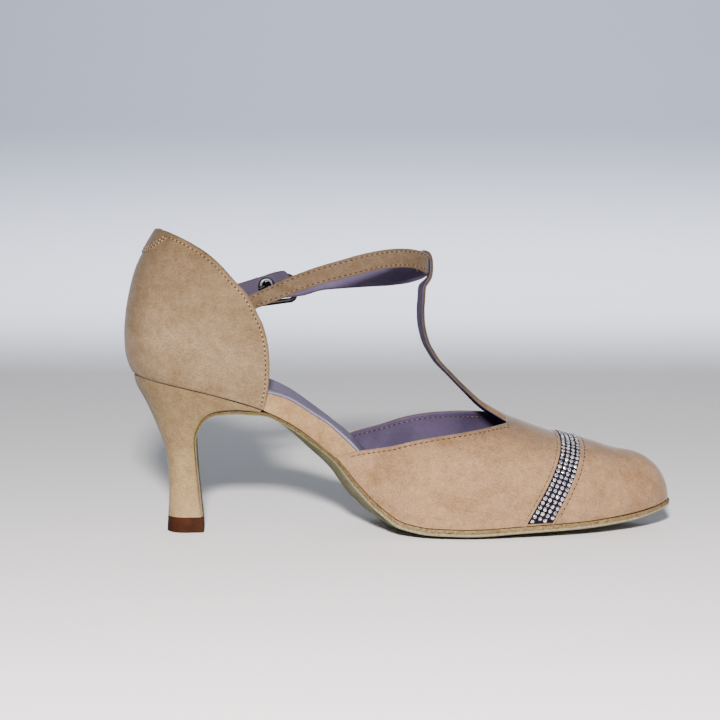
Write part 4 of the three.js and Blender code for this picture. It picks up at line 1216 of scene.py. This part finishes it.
# T-strap's middle line, from the throat up and round the ankle strap
def tRoute():
    depth = straps["tThickness"] / 2 - 0.1
    root = [vampArch(throat + forward, math.pi / 2, depth) for forward in (8, 4, 0)]
    root = [(float(p[0]), 0.0, float(p[2])) for p in root]
    start = root[-1][2]
    cross = loopMiddle
    rising = [(lerp(throat, loopPlace, a), cross[1] * b, lerp(start, cross[2], b))
              for a, b in straps["tRise"]]
    half = (straps["thickness"] + straps["tThickness"]) / 2 + straps["loopSlack"]
    tall = straps["width"] / 2 + strapGap + 0.1
    fold = [(cross[0] + a * half, cross[1], cross[2] + b * tall) for a, b in straps["fold"]]
    return root + rising + fold


# Middle line of a ribbon with its directions across and outward
def ribbonFrames(route, count, acrossAt):
    share, middle = curveThrough(route, count)
    along = unit(np.gradient(middle, axis=0))
    across = acrossAt(share)
    across = unit(across - along * (across * along).sum(-1, keepdims=True))
    return share, middle, across, np.cross(along, across)


# One skin of a ribbon: its face at high, rounded down to low at both edges
def ribbonSkin(frames, half, low, high):
    share, middle, across, outward = frames
    spots = np.sin(np.linspace(-1, 1, straps["columns"]) * math.pi / 2)
    offset = half[:, None] * spots[None]
    distance = half[:, None] - np.abs(offset)
    face = high - np.sign(high - low) * rolled(distance, min(abs(high - low), 0.8))

    def grid(lift):
        return middle[:, None] + across[:, None] * offset[..., None] + outward[:, None] * lift[..., None]

    return closedSheet(grid(face), grid(np.full(offset.shape, low)))


# Share of the width that is left towards a strap's rounded tip
def roundEnd(share, reach):
    return np.sqrt(np.maximum(0.02, 1 - (1 - clamp((1 - share) / reach)) ** 2))


def ridingUp(share):
    return np.broadcast_to((0.0, 0.0, 1.0), (len(share), 3))


ankleFrames = ribbonFrames(ankleRoute(), 520, ridingUp)
ankleHalf = (straps["width"] / 2 * lerp(straps["taper"], 1, clamp(ankleFrames[0] / 0.22))
             * roundEnd(ankleFrames[0], 0.02))


def makeStraps():
    half, rim = straps["thickness"] / 2, straps["rim"]
    makePiece("ankle_strap_suede", [ribbonSkin(ankleFrames, ankleHalf, -half * 0.15, half)], strapSuede,
              "suede", "ankle_strap")
    inner = np.maximum(ankleHalf - rim, 0.3)
    makePiece("ankle_strap_lining", [ribbonSkin(ankleFrames, inner, -half * 0.1, -half)],
              lavenderLining, "lining", "ankle_strap")
    short = ribbonFrames(shortPoints, 160, ridingUp)
    shortHalf = straps["shortWidth"] / 2 * roundEnd(short[0], 0.1)
    inner = np.maximum(shortHalf - rim, 0.3)
    lining = makePiece("short_strap_lining", [ribbonSkin(short, inner, half * 0.5, half)],
                       strapLining, "lining", "buckle_strap")
    cover = makePiece("short_strap_suede", [ribbonSkin(short, shortHalf, half * 0.55, -half)],
                      strapSuede, "suede", "buckle_strap")
    axis = grommetPlace + np.array([[0, -6, 0], [0, 0, 0], [0, 6, 0]], float)
    drillRadius = (buckle["grommetOuter"] + buckle["grommetHole"]) / 4
    drill = makeMesh("grommetDrill", [wireTube(axis, drillRadius, 32)])
    for piece in (lining, cover):
        punch(piece, drill)


# Cuts one closed mesh out of a piece
def punch(piece, drill):
    tool = bpy.data.objects.new("tool", drill)
    bpy.context.collection.objects.link(tool)
    cut = piece.modifiers.new("cut", "BOOLEAN")
    cut.object = tool
    cut.solver = "EXACT"
    bpy.context.view_layer.update()
    result = bpy.data.meshes.new_from_object(piece.evaluated_get(bpy.context.evaluated_depsgraph_get()))
    piece.modifiers.clear()
    piece.data = result
    bpy.data.objects.remove(tool)


# T-strap: grows out of the vamp, narrows, runs up and folds round the ankle strap
def makeTStrap():
    twist = math.radians(straps["tTwist"])
    route = tRoute()
    loopAt = (3 + len(straps["tRise"])) / (len(route) - 1)

    def sideways(share):
        angle = twist * ease(share * 3) * (1 - 0.9 * ease((share - loopAt + 0.06) / 0.1))
        return point(-np.sin(angle), np.cos(angle), 0 * share)

    share, middle, across, inward = ribbonFrames(route, 520, sideways)
    first = np.argmax(share >= 2 / (len(route) - 1))
    middle, across, inward = middle[first:], across[first:], inward[first:]
    run = lineLength(middle)
    spots = np.sin(np.linspace(-1, 1, 33) * math.pi / 2)
    wide = vamp["strapHalf"]
    half = straps["tWidth"] / 2 + (wide - straps["tWidth"] / 2) * np.exp(-(run / 5.0) ** 1.4)
    ribbon = (middle[:, None] + across[:, None] * (half[:, None] * spots)[..., None]
              - inward[:, None] * (straps["tThickness"] / 2))
    # where each line of the strap starts on the vamp
    turns = np.linspace(0.6, math.pi - 0.6, 900)
    line = vampArch(throat + 0.6, turns, 0)
    turn = np.interp(spots * wide, line[:, 1], turns)
    base = vampArch(throat + 0.6, turn, 0.03)
    ribbon += (base - ribbon[0])[None] * (1 - ease(run / 30))[:, None, None]
    lead = np.stack([vampArch(throat + ahead, turn, 0.03) for ahead in (3.0, 1.8)])
    outside = np.concatenate([lead, ribbon])
    inner = np.concatenate([np.repeat(inward[:1], 2, 0), inward])[:, None]
    run = np.concatenate([[0, 0], run])
    half = np.concatenate([[wide, wide], half])
    distance = half[:, None] * (1 - np.abs(spots))
    dull = rolled(distance, 0.75) * ease(run / 2.5)[:, None]
    thick = straps["tThickness"]
    face = outside + inner * dull[..., None]
    back = outside + inner * (thick * 0.93 - 0.5 * dull)[..., None]
    makePiece("t_strap_suede", [closedSheet(face, back)], vampSuede, "suede", "vamp")
    keep = slice(3, -1)
    inset = (1 - straps["rim"] / half)[:, None, None]
    centre = outside.mean(1, keepdims=True)
    narrow = centre + (outside - centre) * inset
    makePiece("t_strap_lining",
              [closedSheet((narrow + inner * (thick * 0.75))[keep], (narrow + inner * thick)[keep])],
              lavenderLining, "lining", "vamp")


makeStraps()
makeTStrap()


def makeBuckle():
    reach = (buckle["length"] - buckle["wire"]) / 2
    rise = (buckle["height"] - buckle["wire"]) / 2
    corner = buckle["height"] * 0.2
    line = []
    for sx, sz in ((1, 1), (1, -1), (-1, -1), (-1, 1)):
        for t in np.linspace(0, 1, 12):
            angle = t * math.pi / 2 if sx * sz > 0 else (1 - t) * math.pi / 2
            line.append(buckleSpot(sx * (reach - corner + corner * math.sin(angle)), 0,
                                   sz * (rise - corner + corner * math.cos(angle))))
    line = evenly(np.vstack([line, line[:1]]), 96)[:-1]
    # the hook reaches from the inner bar through the grommet, here in the buckle's own directions
    toHole = grommetPlace - buckleMiddle
    hx = toHole[0] * math.cos(tilt) + toHole[2] * math.sin(tilt)
    hz = -toHole[0] * math.sin(tilt) + toHole[2] * math.cos(tilt)
    hy = toHole[1]
    inner = hy - straps["thickness"] / 2 - buckle["grommetRim"] - last["gap"] - buckle["hook"] / 2
    barUp = buckle["prong"] / 2 + buckle["hook"] / 2 + last["gap"] * 2
    wire = buckle["hook"]
    hook = [(hingeBar, 0, barUp), (lerp(hingeBar, hx, .35), hy * .18, barUp),
            (lerp(hingeBar, hx, .8), hy * .42, hz), (hx, hy * .75, hz),
            (hx, hy - straps["thickness"] / 2, hz), (hx - wire * .5, inner + .15, hz),
            (hx - wire * 1.4, inner, hz - .4), (hx - wire * 2.6, inner, hz - 1)]
    hookLine = curveThrough([buckleSpot(*p) for p in hook], 60)[1]
    frameAndHook = [wireTube(line, buckle["wire"] / 2, 18, True), wireTube(hookLine, wire / 2, 14)]
    makePiece("buckle_wire", frameAndHook, gunmetal, "dark_metal", "buckle_frame")
    # the prong's eye goes round the inner bar, its tip lies over the outer one
    hook = (buckle["wire"] + buckle["prong"]) / 2 + last["gap"]
    peak = hook + straps["thickness"] + 1
    prong = [(hingeBar - hook * .5, hook * .87), (hingeBar - hook, 0), (hingeBar - hook * .5, -hook * .87),
             (hingeBar + hook * .5, -hook * .87), (hingeBar + hook * 1.05, hook * .45),
             (hingeBar + hook * 1.3, peak * .65), (hingeBar + hook * 2, peak),
             (hingeBar + hook * 3, peak * .97), (0, peak * .75), (-hingeBar - hook * 1.6, hook + .4),
             (-hingeBar + hook * .2, hook + .05), (-hingeBar + hook * .55, hook)]
    prongLine = curveThrough([buckleSpot(a, b, 0) for a, b in prong], 90)[1]
    makePiece("buckle_tongue", [wireTube(prongLine, buckle["prong"] / 2, 14)], gunmetal, "dark_metal",
              "buckle_prong")


makeBuckle()


def makeGrommet():
    outer, hole = buckle["grommetOuter"] / 2, buckle["grommetHole"] / 2
    half, rim = straps["thickness"] / 2, buckle["grommetRim"]
    barrel = (outer + hole) / 2
    top = half + rim
    # half of the section, from the middle of the outer face outwards; the other half mirrors it
    profile = [(barrel, half + .05), (outer - .2, half + .1), (outer, half + .35), (outer - .3, top - .2),
               (barrel, top), (hole + .25, top - .05), (hole, top - .3)]
    profile = [(r, -h) for r, h in profile[::-1]] + profile
    angle = np.linspace(0, 2 * math.pi, 48, endpoint=False)
    ahead = np.array(shortPoints[4]) - np.array(shortPoints[2])
    turn = math.atan2(ahead[1], ahead[0])
    rings = []
    for a in angle:
        x = np.array([r * math.cos(a) for r, _ in profile])
        z = np.array([r * math.sin(a) for r, _ in profile])
        y = np.array([h for _, h in profile])
        ring = point(x * math.cos(turn) - y * math.sin(turn), x * math.sin(turn) + y * math.cos(turn), z)
        rings.append(ring + grommetPlace)
    makePiece("grommet_ring", [closedTube(np.array(rings), True)], nickel, "grey_metal", "strap_grommet")


makeGrommet()
print("straps and fastening done")

# Crystal band across the toe
band = {
    "width": 8.5,
    "fromToe": 45.0,
    "sweep": 15.8,
    "lift": 0.75,
    "pitch": 2.2,
    "stone": 0.9,           # radius
    "rows": (-.75, -.25, .25, .75),
}


# Where the band crosses the vamp, swept back towards the sides
def bandPlace(turn, share, beyond=0.0):
    down = (1 - np.sin(turn)) ** 1.5
    wide = band["width"] * 0.5 * (1 + 0.3 * down)
    return last["length"] - band["fromToe"] - band["sweep"] * down + share * wide + np.sign(share) * beyond


def makeBand():
    turns = np.linspace(0.02, math.pi - 0.02, 260)
    shares = np.array([-1, -.96, -.8, -.4, 0, .4, .8, .96, 1])
    t, s = np.meshgrid(turns, shares)
    x = bandPlace(t, s)
    lift = np.where(np.abs(s) > 0.97, 0.1, band["lift"] * 0.75)
    makePiece("band_cloth", [closedSheet(vampLifted(x, t, lift), vampLifted(x, t, -0.3 + 0 * lift))],
              bandCloth, "band", "crystal_band")
    stones = []
    fine = np.linspace(0.03, math.pi - 0.03, 900)
    for row, share in enumerate(band["rows"]):
        line = vampLifted(bandPlace(fine, share), fine, 0)
        lengths = lineLength(line)
        count = int(lengths[-1] / band["pitch"])
        places = (np.arange(count) + (0.5 if row % 2 else 0.0) + 0.3) * band["pitch"]
        for wanted in places[places < lengths[-1] - 0.6]:
            turn = np.interp(wanted, lengths, fine)
            spot = vampArch(bandPlace(turn, share), turn, 0)
            normal = vampNormal(bandPlace(turn, share), turn)
            stones.append(cutStone(spot, normal))
    makePiece("band_crystals", stones, crystal, "band", "crystal_band", sharp=1)


# Round stone with a table and eight crown facets, turned its own way
def cutStone(spot, normal):
    # set by hand, so each is a little askew
    normal = unit(normal + np.array([random.uniform(-.07, .07) for _ in range(3)]))
    side = unit(np.cross(normal, (0.2, 0.1, 1.0)))
    other = np.cross(normal, side)
    spin = random.uniform(0, math.pi / 4)
    radius = band["stone"]
    rings = []
    for size, lift, shift in ((1.0, .3, 0), (1.0, .55, 0), (.80, .82, .5), (.5, .98, 0)):
        angle = spin + (np.arange(8) + shift) * math.pi / 4
        rings.append(spot + radius * size * (np.cos(angle)[:, None] * side + np.sin(angle)[:, None] * other)
                     + normal * lift)
    return closedTube(np.array(rings))


# Suede folded back along both sides of the band
def makeBandFolds():
    turns = np.linspace(0.0, math.pi, 260)
    solids = []
    for side in (-1, 1):
        reach = np.array([-.12, 0, .1, .3, .6, .95, 1.25, 1.42, 1.5])
        lifts = np.array([.0, .2, .3, .36, .36, .3, .2, .08, -.02])
        t, r = np.meshgrid(turns, reach)
        lift = np.broadcast_to(lifts[:, None], t.shape)
        x = bandPlace(t, float(side)) + side * r
        solids.append(closedSheet(vampLifted(x, t, lift), vampLifted(x, t, -0.4 + 0 * lift)))
    makePiece("band_folds", solids, vampSuede, "suede", "vamp")


makeBand()
makeBandFolds()
print("band done")

# Rows of stitches
stitch = {
    "pitch": 2.35,
    "radius": 0.22,
    "fill": 0.46,
    "lift": 0.08,
    "holeRadius": 0.33,
    "sunk": 0.06,           # thread and hole lie this deep in the suede
    "holeSunk": 0.14,
}
holes = []


# One stitch or needle hole: thick in its middle, sunk at both ends
def capsule(line, normals, radius, rise):
    count = len(line)
    t = np.linspace(0, 1, count)
    along = unit(np.gradient(line, axis=0))
    side = unit(np.cross(along, normals))
    size = radius * np.sqrt(np.maximum(1 - (2 * t - 1) ** 4, 0.08))
    centre = line + normals * (rise * np.sin(math.pi * t))[:, None]
    angle = np.linspace(0, 2 * math.pi, 7, endpoint=False)
    ring = side[:, None] * np.cos(angle)[None, :, None] + normals[:, None] * np.sin(angle)[None, :, None]
    return closedTube(centre[:, None] + ring * size[:, None, None])


# Threads of one row, with a needle hole of painted shade between each two
def stitchRow(line, normals, pitch):
    lengths = lineLength(line)
    fill = stitch["fill"]
    count = max(1, round(lengths[-1] / pitch))
    pitch = lengths[-1] / count

    def laid(middle, points, reach, sunk, radius, rise):
        wanted = middle + np.linspace(-0.5, 0.5, points) * pitch * reach
        normal = unit(atLength(normals, lengths, wanted))
        return capsule(atLength(line, lengths, wanted) - normal * sunk, normal, radius, rise)

    sewn = []
    for i in range(count):
        middle = (i + 0.5) * pitch
        sewn.append(laid(middle, 6, fill, stitch["sunk"], stitch["radius"], stitch["lift"]))
        middle += pitch / 2
        # a dark capsule in the hole: painted shade
        holes.append(laid(middle, 4, 1.04 - fill, stitch["holeSunk"], stitch["holeRadius"], 0.02))
    return sewn


def sewVamp():
    sewn, inside = [], []
    for low, high in ((0.05, 1.17), (math.pi - 1.17, math.pi - 0.05)):
        turns = np.linspace(low, high, 300)
        x = vampStart(turns, 1.65)
        normal = vampNormal(x, turns)
        sewn += stitchRow(vampArch(x, turns, 0), normal, stitch["pitch"])
        x = vampStart(turns, 2.0)
        inside += stitchRow(vampArch(x, turns, vamp["wall"]), -vampNormal(x, turns), stitch["pitch"])
    makePiece("vamp_stitches", sewn, brownThread, "suede")
    makePiece("lining_stitches", inside, violetThread, "lining")


# Places and outward directions on the counter for a line of the side view
def counterSurface(line, side, lift=0.0):
    share, up = counterSpot(line[:, 0], line[:, 1])
    place = counterPoint(side * share, up, -lift)
    step = 0.004
    around = counterPoint(side * (share + step), up, -lift) - counterPoint(side * (share - step), up, -lift)
    rising = counterPoint(side * share, up + step, -lift) - counterPoint(side * share, up - step, -lift)
    normal = unit(np.cross(around, rising))
    # turned to point away from the foot
    outward = np.sign((normal * (-1.0, side * 6.0, 0.0)).sum(-1, keepdims=True))
    return place, normal * outward


def sewCounter():
    sewn = []
    for side, line in ((-1, counterLine), (1, farLine)):
        inside = evenly(beside(line, -1.6), 300)
        inside = inside[inside[:, 1] > np.asarray(edgeHeight(inside[:, 0])) + 1.5]
        sewn += stitchRow(*counterSurface(inside, side, 0.04), 2.0)
    for rise in (0.8, 1.8):
        row = beside(tabLine, rise)
        roof = np.interp(row[:, 0], *counterLine[:upperPart].T)
        row = row[(row[:, 0] > 5.5) & (row[:, 1] < roof - 1.6)]
        for side in (-1, 1):
            sewn += stitchRow(*counterSurface(evenly(row, 120), side, counter["tabLift"]), 1.9)
    makePiece("counter_stitches", sewn, goldThread, "suede")


def sewBand():
    turns = np.linspace(0.05, math.pi - 0.05, 500)
    sewn = []
    for side in (-1.0, 1.0):
        x = bandPlace(turns, side) + (2.1 if side > 0 else -1.35)
        sewn += stitchRow(vampArch(x, turns, 0), vampNormal(x, turns), stitch["pitch"])
    makePiece("band_stitches", sewn, brownThread, "suede")


def sewStrap():
    share, middle, across, outward = ankleFrames
    sewn = []
    for side in (-1, 1):
        line = middle + across * (side * (ankleHalf - 1.15))[:, None] + outward * (straps["thickness"] / 2)
        sewn += stitchRow(line[28:-8], outward[28:-8], stitch["pitch"])
    makePiece("strap_stitches", sewn, brownThread, "suede")


sewVamp()
sewCounter()
sewBand()
sewStrap()
# the needle holes, dark as painted shade
makePiece("stitch_hole_shades", holes, hole, "suede")
print("stitches done")

# Plain soft studio: floor and backdrop in one sweep, in metres
stage = {
    "front": -4.0,
    "halfWidth": 6.0,
    "top": 5.0,
    "floorColour": "eeeef3",
    "backdropShadeColour": "8f939e",
    "shadeFrom": -0.02,     # heights between which the floor's colour turns into the backdrop's painted shade
    "shadeTo": 0.24,
    "wallRadius": 1.2,      # sweep between the floor and the wall
    "wallDistance": 1.6,
    "sky": "d7dbda",
    "skyStrength": 0.2,
}


def makeStage():
    rows = [(stage["front"], 0.0), (0.0, 0.0)]
    for i in range(13):
        angle = i / 12 * math.pi / 2
        rows.append((stage["wallDistance"] + stage["wallRadius"] * math.sin(angle),
                     stage["wallRadius"] * (1 - math.cos(angle))))
    rows.append((rows[-1][0], stage["top"]))
    verts = [(x, y, z) for y, z in rows for x in (-stage["halfWidth"], stage["halfWidth"])]
    faces = [(2 * i, 2 * i + 1, 2 * i + 3, 2 * i + 2) for i in range(len(rows) - 1)]
    mesh = bpy.data.meshes.new("floor")
    mesh.from_pydata(verts, [], faces)
    floor = bpy.data.objects.new("floor", mesh)
    bpy.context.collection.objects.link(floor)
    for face in mesh.polygons:
        face.use_smooth = True
    # backdrop paper, matt, with painted shade: darker from the foot of the sweep up
    material, tree, shader, place = newMaterial("backdropPaper", 0.75)
    spot = addNode(tree, "ShaderNodeNewGeometry").outputs["Position"]
    rise = byHeight(tree, spot, stage["shadeFrom"], stage["shadeTo"], interpolation_type="SMOOTHSTEP")
    tone = mixed(tree, rise, colour(stage["floorColour"]), colour(stage["backdropShadeColour"]))
    tree.links.new(tone, shader.inputs["Base Color"])
    mesh.materials.append(material)
    world = bpy.data.worlds.new("studio")
    world.use_nodes = True
    background = world.node_tree.nodes["Background"]
    background.inputs["Color"].default_value = colour(stage["sky"])
    background.inputs["Strength"].default_value = stage["skyStrength"]
    bpy.context.scene.world = world


# Area lights: places and sizes in metres
lights = {
    # small and low, just left of the camera: it throws the photograph's shadow behind the waist
    "key": {"place": (-0.1, -1.1, 0.42), "aim": (0.03, 0, 0.05), "size": (0.08, 0.08), "watts": 56,
            "tint": "fff7f0"},
    # brightens the wall
    "wash": {"place": (0.3, 1.3, 1.1), "aim": (0.35, 2.9, 0.3), "size": (2.2, 0.5), "watts": 60,
             "tint": "eaf1ff"},
    # lifts the floor behind the shoe
    "top": {"place": (0.25, 1.15, 0.9), "aim": (0.2, 0.9, 0), "size": (1.6, 0.3), "watts": 4.5,
            "tint": "eef2f3"},
}


def makeLight(name, place, aim, size, watts, tint):
    data = bpy.data.lights.new(name, "AREA")
    data.shape = "RECTANGLE"
    data.size, data.size_y = size
    data.energy = watts
    data.color = colour(tint)[:3]
    light = bpy.data.objects.new(name, data)
    light.location = place
    light.rotation_mode = "QUATERNION"
    light.rotation_quaternion = (Vector(aim) - Vector(place)).to_track_quat("-Z", "Y")
    bpy.context.collection.objects.link(light)


# The photograph's camera, low and a little from the heel's side; angles in degrees
view = {
    "target": (-0.0169, 0.0, 0.0730),
    "distance": 0.950,
    "azimuth": -3.0,
    "down": 4.7,
    "lens": 110.4,
}


def makeCamera():
    data = bpy.data.cameras.new("camera")
    data.sensor_fit = "HORIZONTAL"
    data.sensor_width = 36.0
    data.lens = view["lens"]
    camera = bpy.data.objects.new("camera", data)
    a, e = math.radians(view["azimuth"]), math.radians(view["down"])
    back = Vector((math.sin(a) * math.cos(e), -math.cos(a) * math.cos(e), math.sin(e)))
    camera.location = Vector(view["target"]) + back * view["distance"]
    camera.rotation_mode = "QUATERNION"
    camera.rotation_quaternion = (-back).to_track_quat("-Z", "Y")
    bpy.context.collection.objects.link(camera)
    bpy.context.scene.camera = camera


makeStage()
for name, light in lights.items():
    makeLight(name, **light)
makeCamera()
print("stage done")
